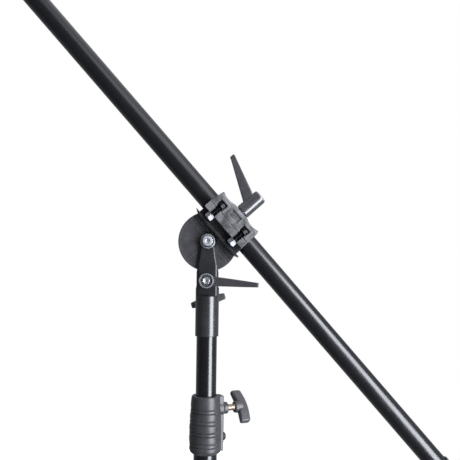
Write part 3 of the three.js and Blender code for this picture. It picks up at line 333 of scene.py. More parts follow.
def tube(name: str, radius: float, wall: float, length: float, edge: float = 0.3) -> Piece:
    """Open tube along Z with eased rims."""
    return turned(name, rectangle((radius - wall, radius), (0, length)), LARGE_FACETS, edge)


def hexagon(across_flats: float, low: float, high: float) -> Piece:
    """Hexagonal bar along Z whose flats face along X."""
    return moved(rod(across_flats / math.sqrt(3), low, high, 6), axis="Z", degrees=30)


def drilled(radius: float, mouth: float) -> Piece:
    """Cutter for the conical end of a drilled recess, below its mouth."""
    lid = mouth + 0.4
    return turned("drill", [(0, mouth - 0.6 * radius), (radius, mouth), (radius, lid), (0, lid)], SMALL_FACETS, 0.0)


def rotation(degrees: float, axis: str) -> Matrix:
    """Turn about an axis."""
    return Matrix.Rotation(math.radians(degrees), 4, axis)


def lift(distance: float) -> Matrix:
    """Shift along Z by millimetres."""
    return Matrix.Translation((0, 0, distance * MM))


def moved(thing: Piece, shift: Sequence[float] = (0, 0, 0), axis: str = "Z", degrees: float = 0.0) -> Piece:
    """Turns a shape about one of its axes, then shifts it in millimetres, in its own mesh.

    Args:
        thing: Shape to move.
        shift: Millimetres along each axis.
        axis: Axis of the turn.
        degrees: Size of the turn.

    Returns:
        The same shape.
    """
    thing.data.transform(Matrix.Translation(Vector(shift) * MM) @ rotation(degrees, axis))
    return thing


def removed(thing: Piece) -> None:
    """Deletes an object and its mesh.

    Args:
        thing: Object that isn't needed any more.
    """
    mesh = thing.data
    bpy.data.objects.remove(thing)
    bpy.data.meshes.remove(mesh)


def settled(thing: Piece) -> Piece:
    """Turns an object's modifiers into plain mesh.

    Args:
        thing: Object with modifiers.

    Returns:
        The same object.
    """
    bpy.context.view_layer.update()
    graph = bpy.context.evaluated_depsgraph_get()
    mesh = bpy.data.meshes.new_from_object(thing.evaluated_get(graph))
    old = thing.data
    thing.modifiers.clear()
    thing.data = mesh
    bpy.data.meshes.remove(old)
    return thing


def worked(base: Piece, tools: Iterable[Piece], work: Work) -> Piece:
    """Joins, cuts or intersects a shape with others, which are used up.

    Args:
        base: Shape that stays.
        tools: Shapes that are used up.
        work: What is done with them.

    Returns:
        The base, changed.
    """
    used = list(tools)
    for tool in used:
        step = base.modifiers.new(work.name.lower(), "BOOLEAN")
        step.operation = work.value
        step.solver = "MANIFOLD"
        step.object = tool
    settled(base)
    for tool in used:
        removed(tool)
    return base


def eased_hexagon(across_flats: float, low: float, high: float, foot: Pair | None, head: Pair | None) -> Piece:
    """Makes a hexagonal bar along Z with its corners turned off, as on nuts and screw heads.

    Args:
        across_flats: Distance between two flats.
        low: Lower end.
        high: Upper end.
        foot: Cut of the lower corners, inward and upward, if any.
        head: Cut of the upper corners, inward and downward, if any.

    Returns:
        The bar.
    """
    corner = across_flats / math.sqrt(3)
    full = corner + 0.1
    below = [(corner - foot[0], low), (full, low + foot[1])] if foot else [(full, low)]
    above = [(full, high - head[1]), (corner - head[0], high)] if head else [(full, high)]
    bar = hexagon(across_flats, low, high)
    cone = turned("cone", [(0, low), *below, *above, (0, high)], SMALL_FACETS, 0.0)
    return worked(bar, [cone], Work.COMMON)


def hexagon_nut(name: str, across_flats: float, ends: Pair, bolt: float, foot: Pair | None, head: Pair) -> Piece:
    """Makes a hexagonal nut along Z.

    Args:
        name: Name of the nut.
        across_flats: Distance between two flats.
        ends: Heights of its two ends.
        bolt: Radius of its bolt.
        foot: Cut of the lower corners, inward and upward, if any.
        head: Cut of the upper corners, inward and downward.

    Returns:
        The nut.
    """
    nut = eased_hexagon(across_flats, *ends, foot, head)
    nut.name = name
    return worked(nut, [rod(bolt + NUT_GAP, ends[0] - PAST, ends[1] + PAST)], Work.CUT)


def cast(thing: Piece, grain: float = 0.35, passes: int = 4, kept: float = 0.5) -> Piece:
    """Gives a sharp shape the rounded edges and soft inner corners of a casting.

    Args:
        thing: Closed shape.
        grain: Size of the new faces in millimetres.
        passes: Rounds of smoothing, more for softer edges.
        kept: Share of the new faces that stays.

    Returns:
        The same object with its new skin.
    """
    skin = thing.modifiers.new("skin", "REMESH")
    skin.mode = "VOXEL"
    skin.voxel_size = grain * MM
    soft = thing.modifiers.new("soft", "SMOOTH")
    soft.factor = 0.5
    soft.iterations = passes
    thin = thing.modifiers.new("thin", "DECIMATE")
    thin.ratio = kept
    return settled(thing)


def threaded(
    name: str, radius: float, low: float, high: float, pitch: float = 1.25, tips: Pair = (0.8, 0.8)
) -> Piece:
    """Makes a threaded rod along Z with pointed-off ends.

    Args:
        name: Name of the object.
        radius: Outer radius of the thread.
        low: Lower end.
        high: Upper end.
        pitch: Rise of one turn.
        tips: Length of the taper at the lower and the upper end.

    Returns:
        The closed object.
    """
    depth = 0.54 * pitch
    count = max(8, round((high - low) / pitch * 8))
    heights = [low + (high - low) * i / count for i in range(count + 1)]

    def groove(reach: float, height: float, angle: float) -> float:
        """Radius of the thread at a height and angle, tapering off at both ends.

        Args:
            reach: Radius of the profile.
            height: Height on the rod.
            angle: Angle round it.

        Returns:
            The thread's radius there.
        """
        share = (height / pitch - angle / math.tau) % 1.0
        taper = min(1.0, (height - low) / tips[0] if tips[0] else 1.0, (high - height) / tips[1] if tips[1] else 1.0)
        cut = depth * min(1.0, 1.3 * (1 - abs(2 * share - 1)))
        return min(reach - cut, radius - depth + taper * depth)

    profile = [(0, low), *[(radius, height) for height in heights], (0, high)]
    return turned(name, profile, 32, 0.0, groove)


def swept(name: str, path: Sequence[Pair], radius: float, facets: int = 20) -> Piece:
    """Round wire along a path in X and Z, with rounded ends.

    Args:
        name: Name of the object.
        path: Centre line in millimetres.
        radius: Radius of the wire.
        facets: Flats round the wire.

    Returns:
        The closed object.
    """
    places = [Vector((x, 0.0, z)) for x, z in path]
    last = len(places) - 1
    turns = [math.tau * k / facets for k in range(facets)]
    caps = [math.pi / 2 * k / 4 for k in range(4)]
    rings = []

    def ring(centre: Vector, ahead: Vector, reach: float) -> list[Vector]:
        """Circle of points round the path.

        Args:
            centre: Its middle.
            ahead: Direction of the path.
            reach: Its radius.

        Returns:
            The points.
        """
        side = ahead.cross(Vector((0, 1, 0)))
        return [centre + reach * (math.cos(t) * Vector((0, 1, 0)) + math.sin(t) * side) for t in turns]

    for i, place in enumerate(places):
        ahead = (places[min(i + 1, last)] - places[max(i - 1, 0)]).normalized()
        cap = [(ahead * radius * math.cos(t), radius * math.sin(t) + 0.02) for t in caps]
        if i == 0:
            rings += [ring(place - shift, ahead, reach) for shift, reach in cap]
        rings.append(ring(place, ahead, radius))
        if i == last:
            rings += [ring(place + shift, ahead, reach) for shift, reach in reversed(cap)]
    return lofted(name, rings)


def soft_ring(x: float, low: float, high: float, width: float, squareness: float) -> list[Point]:
    """Rounded rectangle across X.

    Args:
        x: Place along the axis.
        low: Its lower side.
        high: Its upper side.
        width: Its full width.
        squareness: One for an ellipse, less for squarer.

    Returns:
        The ring's points.
    """
    ring = []
    for i in range(32):
        angle = math.tau * (i + 0.5) / 32
        across, up = (math.copysign(abs(value) ** squareness, value) for value in (math.cos(angle), math.sin(angle)))
        ring.append((x, width / 2 * across, (low + high) / 2 + (high - low) / 2 * up))
    return ring


class Shader:
    """Node tree of one material, with short ways to add what the finishes need."""

    def __init__(self, name: str) -> None:
        """Starts a material with its surface shader and the piece's own coordinates.

        Args:
            name: Name of the material.
        """
        self.material = bpy.data.materials.new(name)
        self.material.use_nodes = True
        self.nodes = self.material.node_tree.nodes
        self.links = self.material.node_tree.links
        self.surface = self.nodes["Principled BSDF"]
        self.place = self.nodes.new("ShaderNodeTexCoord").outputs["Object"]

    def preset(self, node: bpy.types.Node, **values: float | Colour) -> None:
        """Sets inputs of a node.

        Args:
            node: The node.
            values: Value of each input, named with underscores for spaces.
        """
        for name, value in values.items():
            socket = node.inputs[name.replace("_", " ")]
            socket.default_value = (*value, 1.0) if isinstance(value, tuple) else value

    def fixed(self, **values: float | Colour) -> None:
        """Sets inputs of the surface shader, named with underscores for spaces."""
        self.preset(self.surface, **values)

    def driven(self, name: str, source: Socket) -> None:
        """Feeds a socket of the surface shader from a node."""
        self.links.new(source, self.surface.inputs[name])

    def stretched(self, x: float, y: float, z: float) -> Socket:
        """Own coordinates scaled along each axis.

        Args:
            x: Scale along X.
            y: Scale along Y.
            z: Scale along Z.

        Returns:
            The scaled coordinates.
        """
        node = self.nodes.new("ShaderNodeMapping")
        node.inputs["Scale"].default_value = (x, y, z)
        self.links.new(self.place, node.inputs["Vector"])
        return node.outputs["Vector"]

    def pattern(self, kind: str, where: Socket | None = None, **values: float) -> bpy.types.Node:
        """Adds a pattern, with its scale in repeats to a metre.

        Args:
            kind: Kind of pattern.
            where: Coordinates, if not the piece's own.
            values: Value of each input.

        Returns:
            The pattern's node.
        """
        node = self.nodes.new(f"ShaderNodeTex{kind}")
        self.preset(node, **values)
        self.links.new(where or self.place, node.inputs["Vector"])
        return node

    def noise(self, scale: float, detail: float = 3.0, where: Socket | None = None) -> Socket:
        """Cloudy pattern."""
        return self.pattern("Noise", where, Scale=scale, Detail=detail).outputs["Fac"]

    def rings(self, scale: float) -> Socket:
        """Turning marks round Z.

        Args:
            scale: Repeats to a metre.

        Returns:
            The pattern.
        """
        node = self.pattern("Wave", Scale=scale, Distortion=1.5, Detail_Scale=2.0)
        node.wave_type = "RINGS"
        node.rings_direction = "Z"
        return node.outputs["Fac"]

    def edges(self) -> Socket:
        """Sharpness of the surface, above a half on outer edges."""
        return self.nodes.new("ShaderNodeNewGeometry").outputs["Pointiness"]

    def span(self, source: Socket, low: float, high: float, to_low: float, to_high: float) -> Socket:
        """Maps a range of a pattern to another, held at its ends.

        Args:
            source: The pattern.
            low: Start of its range.
            high: End of its range.
            to_low: What the start becomes.
            to_high: What the end becomes.

        Returns:
            The new pattern.
        """
        node = self.nodes.new("ShaderNodeMapRange")
        self.links.new(source, node.inputs["Value"])
        self.preset(node, From_Min=low, From_Max=high, To_Min=to_low, To_Max=to_high)
        return node.outputs["Result"]

    def summed(self, first: Socket, second: Socket) -> Socket:
        """Adds two patterns.

        Args:
            first: One pattern.
            second: The other.

        Returns:
            Their sum.
        """
        node = self.nodes.new("ShaderNodeMath")
        self.links.new(first, node.inputs[0])
        self.links.new(second, node.inputs[1])
        return node.outputs["Value"]

    def blended(self, share: Socket, first: Socket | Colour, second: Socket | Colour) -> Socket:
        """Mixes two colours.

        Args:
            share: Pattern that gives the share of the second.
            first: A value or a node's output.
            second: A value or a node's output.

        Returns:
            The mixed colour.
        """
        node = self.nodes.new("ShaderNodeMix")
        node.data_type = "RGBA"
        self.links.new(share, node.inputs["Factor"])
        for socket, colour in ((node.inputs[6], first), (node.inputs[7], second)):
            if isinstance(colour, tuple):
                socket.default_value = (*colour, 1.0)
            else:
                self.links.new(colour, socket)
        return node.outputs[2]

    def relief(self, height: Socket, depth: float, under: Socket | None = None) -> Socket:
        """Raises the surface by a pattern.

        Args:
            height: The pattern.
            depth: Its depth in millimetres.
            under: Relief that it lies on.

        Returns:
            The raised surface.
        """
        node = self.nodes.new("ShaderNodeBump")
        node.inputs["Distance"].default_value = depth * MM
        self.links.new(height, node.inputs["Height"])
        if under:
            self.links.new(under, node.inputs["Normal"])
        self.links.new(node.outputs["Normal"], self.surface.inputs["Normal"])
        return node.outputs["Normal"]


MADE: dict[str, bpy.types.Material] = {}


@dataclass(frozen=True)
class Finish:
    """Finish of a material, made once and shared by its pieces."""

    name: str
    slot: Slot
    colour: Colour
    roughness: float

    def material(self) -> bpy.types.Material:
        """The finish's material."""
        if self.name not in MADE:
            shader = Shader(self.name)
            self.paint(shader)
            MADE[self.name] = shader.material
        return MADE[self.name]

    def paint(self, shader: Shader) -> None:
        """Adds the finish's nodes to a new material."""
        raise NotImplementedError

    def roughened(self, shader: Shader, pattern: Socket, spread: float) -> None:
        """Spreads the roughness about its middle value by a pattern."""
        shader.driven("Roughness", shader.span(pattern, 0.3, 0.7, self.roughness - spread, self.roughness + spread))

    def shade(self, factor: float) -> Colour:
        """The finish's colour, lighter or darker."""
        return tuple(min(1.0, channel * factor) for channel in self.colour)


@dataclass(frozen=True)
class DrawnTube(Finish):
    """Black coated tube with faint drawing lines, handling marks and specks of dust."""

    coat: float = 0.5
    coat_roughness: float = 0.14
    orange_peel: float = 0.0005

    def paint(self, shader: Shader) -> None:
        """Adds the tube's drawing lines, smudges and coat.

        Args:
            shader: The material's shader.
        """
        lines = shader.noise(1.0, 2.0, shader.stretched(1600, 1600, 14))
        smudges = shader.noise(26, 5.0)
        drawn = shader.span(lines, 0.35, 0.65, self.roughness - 0.015, self.roughness + 0.015)
        handled = shader.span(smudges, 0.48, 0.72, 0.0, 0.1)
        shader.driven("Roughness", shader.summed(drawn, handled))
        specks = shader.span(shader.noise(2400, 2.0), 0.68, 0.76, 0.0, 0.04)
        tone = shader.blended(smudges, self.shade(0.85), self.shade(1.2))
        shader.driven("Base Color", shader.blended(specks, tone, self.shade(3.0)))
        shader.relief(shader.noise(520, 2.0), self.orange_peel)
        shader.fixed(Coat_Weight=self.coat, Coat_Roughness=self.coat_roughness)


@dataclass(frozen=True)
class Casting(Finish):
    """Painted casting with a fine grain, soft unevenness, and outer edges lightened as rubbed paint and as painted
    highlight.
    """

    edge_wear_and_sheen_colour: Colour = (0.1, 0.1, 0.1)
    grain: float = 0.035
    waviness: float = 0.05
    mottle: float = 0.14
    shine: float = 0.5

    def paint(self, shader: Shader) -> None:
        """Adds the casting's grain and its lightened edges, which are partly rubbed paint and partly painted highlight.

        Args:
            shader: The material's shader.
        """
        cloud = shader.noise(90, 4.0)
        grit = shader.noise(2100, 3.0)
        clouded = shader.span(cloud, 0.35, 0.65, 0.0, 1.0)
        tone = shader.blended(clouded, self.shade(1 - self.mottle), self.shade(1 + self.mottle))
        tone = shader.blended(shader.span(grit, 0.6, 0.78, 0.0, 0.5), tone, self.shade(1.6))
        # Outer edges, found by pointiness, get a lighter colour: rubbed paint, and painted highlight along edges and
        # raised frames.
        wear_and_sheen = shader.summed(shader.edges(), shader.span(shader.noise(300, 4.0), 0.3, 0.7, -0.035, 0.035))
        shader.driven("Base Color", shader.blended(shader.span(wear_and_sheen, 0.53, 0.62, 0.0, 0.75), tone, self.edge_wear_and_sheen_colour))
        self.roughened(shader, grit, 0.015 + 1.6 * self.grain)
        uneven = shader.relief(cloud, self.waviness)
        shader.relief(grit, self.grain, uneven)
        shader.fixed(Specular_IOR_Level=self.shine)


@dataclass(frozen=True)
class Moulding(Finish):
    """Glass-filled nylon with a fine spark-eroded grain."""

    grain: float = 0.03

    def paint(self, shader: Shader) -> None:
        """Adds the moulding's pebbled grain and light scuffs.

        Args:
            shader: The material's shader.
        """
        pebbles = shader.pattern("Voronoi", Scale=1900).outputs["Distance"]
        cloud = shader.noise(140, 4.0)
        tone = shader.blended(cloud, self.shade(0.8), self.shade(1.25))
        rubbed = shader.span(shader.edges(), 0.53, 0.6, 0.0, 0.6)
        shader.driven("Base Color", shader.blended(rubbed, tone, self.shade(1.9)))
        self.roughened(shader, cloud, 0.07)
        shader.relief(pebbles, self.grain)


@dataclass(frozen=True)
class Plating(Finish):
    """Plated metal with turning marks and fine scratches."""

    marks: float = 0.004
    metal: float = 1.0

    def paint(self, shader: Shader) -> None:
        """Adds the plating's turning marks, scratches and stains.

        Args:
            shader: The material's shader.
        """
        scratches = shader.noise(1.0, 3.0, shader.stretched(3200, 420, 900))
        stains = shader.noise(240, 4.0)
        shader.driven("Roughness", shader.span(scratches, 0.35, 0.65, self.roughness - 0.07, self.roughness + 0.1))
        shader.driven("Base Color", shader.blended(stains, self.shade(0.78), self.shade(1.12)))
        turning = shader.relief(shader.rings(1100), self.marks)
        shader.relief(scratches, self.marks, turning)
        shader.fixed(Metallic=self.metal)


@dataclass(frozen=True)
class Rubber(Finish):
    """Matt black rubber."""

    grain: float = 0.05

    def paint(self, shader: Shader) -> None:
        """Adds the rubber's grain and dust.

        Args:
            shader: The material's shader.
        """
        grit = shader.noise(1500, 4.0)
        dust = shader.span(shader.noise(60, 5.0), 0.5, 0.75, 0.0, 0.5)
        shader.driven("Base Color", shader.blended(dust, self.colour, self.shade(2.4)))
        self.roughened(shader, grit, 0.08)
        shader.relief(grit, self.grain)


@dataclass(frozen=True)
class StudioFloor(Finish):
    """Pale floor that brightens into its white surround, to the eye only."""

    glow: Pair = (0.72, 1.1)
    reach: Pair = (0.25, 1.0)

    def paint(self, shader: Shader) -> None:
        """Adds a faint unevenness and a glow that grows from the middle to the rim.

        Args:
            shader: The material's shader.
        """
        cloud = shader.noise(3, 3.0)
        shader.driven("Base Color", shader.blended(cloud, self.shade(0.97), self.shade(1.03)))
        self.roughened(shader, cloud, 0.05)
        length = shader.nodes.new("ShaderNodeVectorMath")
        length.operation = "LENGTH"
        shader.links.new(shader.place, length.inputs[0])
        glow = shader.span(length.outputs["Value"], *self.reach, *self.glow)
        seen = shader.nodes.new("ShaderNodeMath")
        seen.operation = "MULTIPLY"
        shader.links.new(glow, seen.inputs[0])
        shader.links.new(shader.nodes.new("ShaderNodeLightPath").outputs["Is Camera Ray"], seen.inputs[1])
        shader.driven("Emission Strength", seen.outputs["Value"])
        shader.fixed(Emission_Color=(1.0, 1.0, 1.0))


GLOSS_TUBE = DrawnTube("gloss_black_tube_finish", Slot.GLOSS_TUBE, linear(16, 16, 19), 0.22, coat=0.6)
SATIN_TUBE = DrawnTube(
    "satin_black_tube_finish", Slot.SATIN_TUBE, linear(20, 20, 23), 0.28, coat=0.4, coat_roughness=0.2
)
YOKE_CASTING = Casting(
    "satin_black_casting_finish", Slot.SATIN_CASTING, linear(40, 40, 42), 0.23, edge_wear_and_sheen_colour=linear(64, 64, 68),
    grain=0.008, waviness=0.012, shine=0.38,
)
SLEEVE_CASTING = replace(
    YOKE_CASTING, name="satin_sleeve_finish", roughness=0.25, grain=0.004, waviness=0.006, shine=0.85
)
DISC_CASTING = Casting(
    "disc_casting_finish", Slot.SATIN_CASTING, linear(56, 55, 58), 0.48, edge_wear_and_sheen_colour=linear(72, 71, 75), mottle=0.2
)
RIBBED_CASTING = Casting(
    "ribbed_grey_casting_finish", Slot.RIBBED_CASTING, linear(54, 54, 56), 0.38, edge_wear_and_sheen_colour=linear(92, 92, 95),
    grain=0.012, waviness=0.02,
)
# The pale edge colour is partly a painted highlight on the clamp's edges and on the raised frames beside its pockets.
CLAMP_CASTING = Casting(
    "grey_clamp_casting_finish", Slot.CLAMP_CASTING, linear(89, 89, 90), 0.42, edge_wear_and_sheen_colour=linear(160, 160, 162),
    mottle=0.5,
)
LEVER_CASTING = Casting(
    "lever_casting_finish", Slot.LEVER, linear(60, 59, 62), 0.23, edge_wear_and_sheen_colour=linear(88, 88, 92), grain=0.0003,
    waviness=0.004, shine=1.0,
)
# Lighter rim colour: rubbed paint, and a painted highlight ring round the bolt's head and the lever hubs' crests.
RUBBED_AND_LIT_RIM = Casting(
    "rubbed_rim_and_painted_highlight_finish", Slot.SATIN_CASTING, linear(118, 118, 121), 0.26, edge_wear_and_sheen_colour=linear(140, 140, 143), grain=0.002
)
GREY_NYLON = Moulding("grey_nylon_finish", Slot.NYLON, linear(70, 69, 72), 0.38, grain=0.015)
BRIGHT_STEEL = Plating("zinc_steel_finish", Slot.STEEL, linear(216, 219, 222), 0.34)
MATT_ZINC = Plating("matt_zinc_finish", Slot.STEEL, linear(196, 199, 204), 0.46, metal=0.88)
# Dark steel: the collar's fixing screw's own colour, and painted shade on the clamp's nuts and screw shanks down in
# their shadowed pockets.
DARK_STEEL_AND_POCKET_SHADE = Plating("dark_steel_and_pocket_shade_finish", Slot.STEEL, linear(52, 52, 55), 0.42)
DULL_STEEL = Plating("dull_steel_finish", Slot.STEEL, linear(158, 161, 165), 0.48)
BRASS = Plating("brass_stud_finish", Slot.BRASS, linear(216, 200, 182), 0.34)
BLACK_RUBBER = Rubber("black_rubber_finish", Slot.RUBBER, linear(24, 24, 24), 0.82)
PALE_FLOOR = StudioFloor("studio_floor_finish", Slot.RUBBER, (0.3, 0.3, 0.3), 0.75)


@dataclass
class Stance:
    """Where the arm's axes stand at rest."""

    pivot_height: float = 600.0
    boom_angle: float = 48.4
    boom_offset: float = 34.3

    def mast(self, height: float) -> Matrix:
        """Frame on the mast axis at a height."""
        return lift(height)

    def pivot(self, drop: float = 0.0) -> Matrix:
        """Frame on the mast axis below the tilt axis."""
        return self.mast(self.pivot_height - drop)

    def facing_front(self, drop: float, depth: float) -> Matrix:
        """Frame in front of the mast axis, with its Z towards the front."""
        shift = Matrix.Translation((0, -depth * MM, 0))
        return self.pivot(drop) @ shift @ rotation(90, "X")

    def tilt(self) -> Matrix:
        """Frame of the tilting head, with X down the boom."""
        return self.pivot() @ rotation(self.boom_angle, "Y")

    def clamp(self, x: float = 0.0, y: float = 0.0, z: float = 0.0) -> Matrix:
        """Frame on the boom axis at the clamp's middle, with X down the boom."""
        return self.tilt() @ Matrix.Translation((x * MM, y * MM, (self.boom_offset + z) * MM))

    def boom(self, distance: float = 0.0) -> Matrix:
        """Frame on the boom axis, with Z towards the boom's front end."""
        return self.clamp() @ rotation(-90, "Y") @ lift(distance)


def outward(base: Matrix, yaw: float, reach: float, roll: float = 0.0) -> Matrix:
    """Frame on an axis that leaves a tube sideways.

    Args:
        base: Frame on the tube's axis, with Z along the tube.
        yaw: Degrees from the tube's X.
        reach: Millimetres from the tube's axis.
        roll: Degrees that the frame is turned about the new axis.

    Returns:
        The frame, with its Z pointing outward.
    """
    return base @ rotation(yaw, "Z") @ rotation(90, "Y") @ lift(reach) @ rotation(roll, "Z")


@dataclass
class Fitter:
    """Puts finished pieces in place on their bodies."""

    fitted: list[str] = field(default_factory=list)

    def fit(
        self, piece: Piece, place: Matrix, body: Body, finish: Finish, stands_for: str, snug: bool = False
    ) -> Piece:
        """Places, dresses and mounts a piece that stands for a CAD node.

        Args:
            piece: The finished piece in its own frame.
            place: Its frame in the part's frame.
            body: Body that it rides on.
            finish: Finish of its surface.
            stands_for: Node that it replaces.
            snug: Whether its place goes into its mesh, which keeps its box tight.

        Returns:
            The mounted piece.
        """
        if snug:
            piece.data.transform(place)
        else:
            piece.matrix_world = place
        piece.data.materials.clear()
        piece.data.materials.append(finish.material())
        piece.data.shade_smooth()
        piece.data.set_sharp_from_angle(angle=FLAT_ANGLE)
        piece.modifiers.new("even_shading", "WEIGHTED_NORMAL").keep_sharp = True
        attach(piece, body.value)
        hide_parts(stands_for)
        self.fitted.append(piece.name)
        LOG.info("%s rides on %s, %d faces", piece.name, body.value, len(piece.data.polygons))
        return piece

    def touch_up(self, piece: Piece, finish: Finish, chosen: Callable[[Vector], bool]) -> None:
        """Gives some faces of a mounted piece a second finish.

        Args:
            piece: The mounted piece.
            finish: The second finish.
            chosen: Tells by its middle, in millimetres in the piece's frame, whether a face has it.
        """
        piece.data.materials.append(finish.material())
        last = len(piece.data.materials) - 1
        for face in piece.data.polygons:
            if chosen(face.center / MM):
                face.material_index = last

    def dress(self, node: str, finish: Finish) -> None:
        """Gives a CAD node that stays its finish.

        Args:
            node: The CAD node.
            finish: Its finish.
        """
        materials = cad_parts[node].data.materials
        materials.clear()
        materials.append(finish.material())
        LOG.info("%s keeps its solid", node)


@dataclass
class BarKnob:
    """T-shaped knob on a brass stud."""

    prefix: str
    body: Body
    stud_start: float
    stud_show: float = 10.2
    stud_grip: float = 9.0
    stud_radius: float = 4.0
    hub_radius: float = 7.2
    hub_length: float = 4.6
    recess_radius: float = 5.6
    recess_depth: float = 2.2
    bar_length: float = 45.0
    bar_width: float = 11.4
    end_width: float = 7.4
    bar_end: float = 10.0
    bar_middle: float = 12.6
    bar_hollow: float = 0.4
    bar_return: float = 3.0
    tip_reach: float = 1.4
    tip_turns: tuple[float, ...] = (0.35, 0.7, 1.05, 1.35)
    tip_narrowing: float = 0.38
    squareness: float = 0.5

    def bar(self) -> Piece:
        """Crescent bar along X, whose inner side runs back straight to its narrower ends.

        Returns:
            The bar.
        """
        half = self.bar_length / 2
        tip = self.tip_reach / half
        stations = [((1 - tip) * (i / 16 - 1), 1.0) for i in range(33)]
        tips = [(1 - tip * (1 - math.sin(t)), 1 - self.tip_narrowing * (1 - math.cos(t))) for t in self.tip_turns]
        stations = [*[(-share, size) for share, size in reversed(tips)], *stations, *tips]
        rings = []
        for share, size in stations:
            fullness = 1 - share * share
            low = self.bar_hollow - (self.bar_hollow + self.bar_return) * abs(share)
            high = self.bar_end + (self.bar_middle - self.bar_end) * fullness
            width = self.end_width + (self.bar_width - self.end_width) * fullness
            trim = (high - low) / 2 * (1 - size)
            rings.append(soft_ring(half * share, low + trim, high - trim, width * size, self.squareness))
        return lofted("bar", rings)

    def handle(self) -> Piece:
        """Moulded handle, from its hub's lower face at zero.

        Returns:
            The handle.
        """
        wide, inside = self.hub_radius, self.hub_length + self.bar_end / 2
        profile = [(0, 0), (wide - 0.8, 0), (wide, 0.8), (wide + 0.5, inside), (0, inside)]
        hub = turned(f"fine_{self.prefix}_knob_handle", profile, SMALL_FACETS)
        worked(hub, [moved(self.bar(), (0, 0, self.hub_length))], Work.JOIN)
        hole = rod(self.stud_radius + NUT_GAP, -PAST, self.stud_grip + 0.3)
        recess = rod(self.recess_radius, -PAST, self.recess_depth)
        return cast(worked(hub, [hole, recess], Work.CUT), grain=0.4, kept=0.45)

    def build(self, fitter: Fitter, seat: Matrix) -> None:
        """Makes the knob on a seat face whose Z points outward.

        Args:
            fitter: Puts the pieces in place.
            seat: Frame on the boss's outer face.
        """
        raised = seat @ lift(self.stud_show)
        fitter.fit(self.handle(), raised, self.body, GREY_NYLON, f"{self.prefix}_knob_handle")
        name = f"{self.prefix}_knob_stud"
        stud = threaded(f"fine_{name}", self.stud_radius, self.stud_start, self.stud_show + self.stud_grip)
        fitter.fit(stud, seat, self.body, BRASS, name)


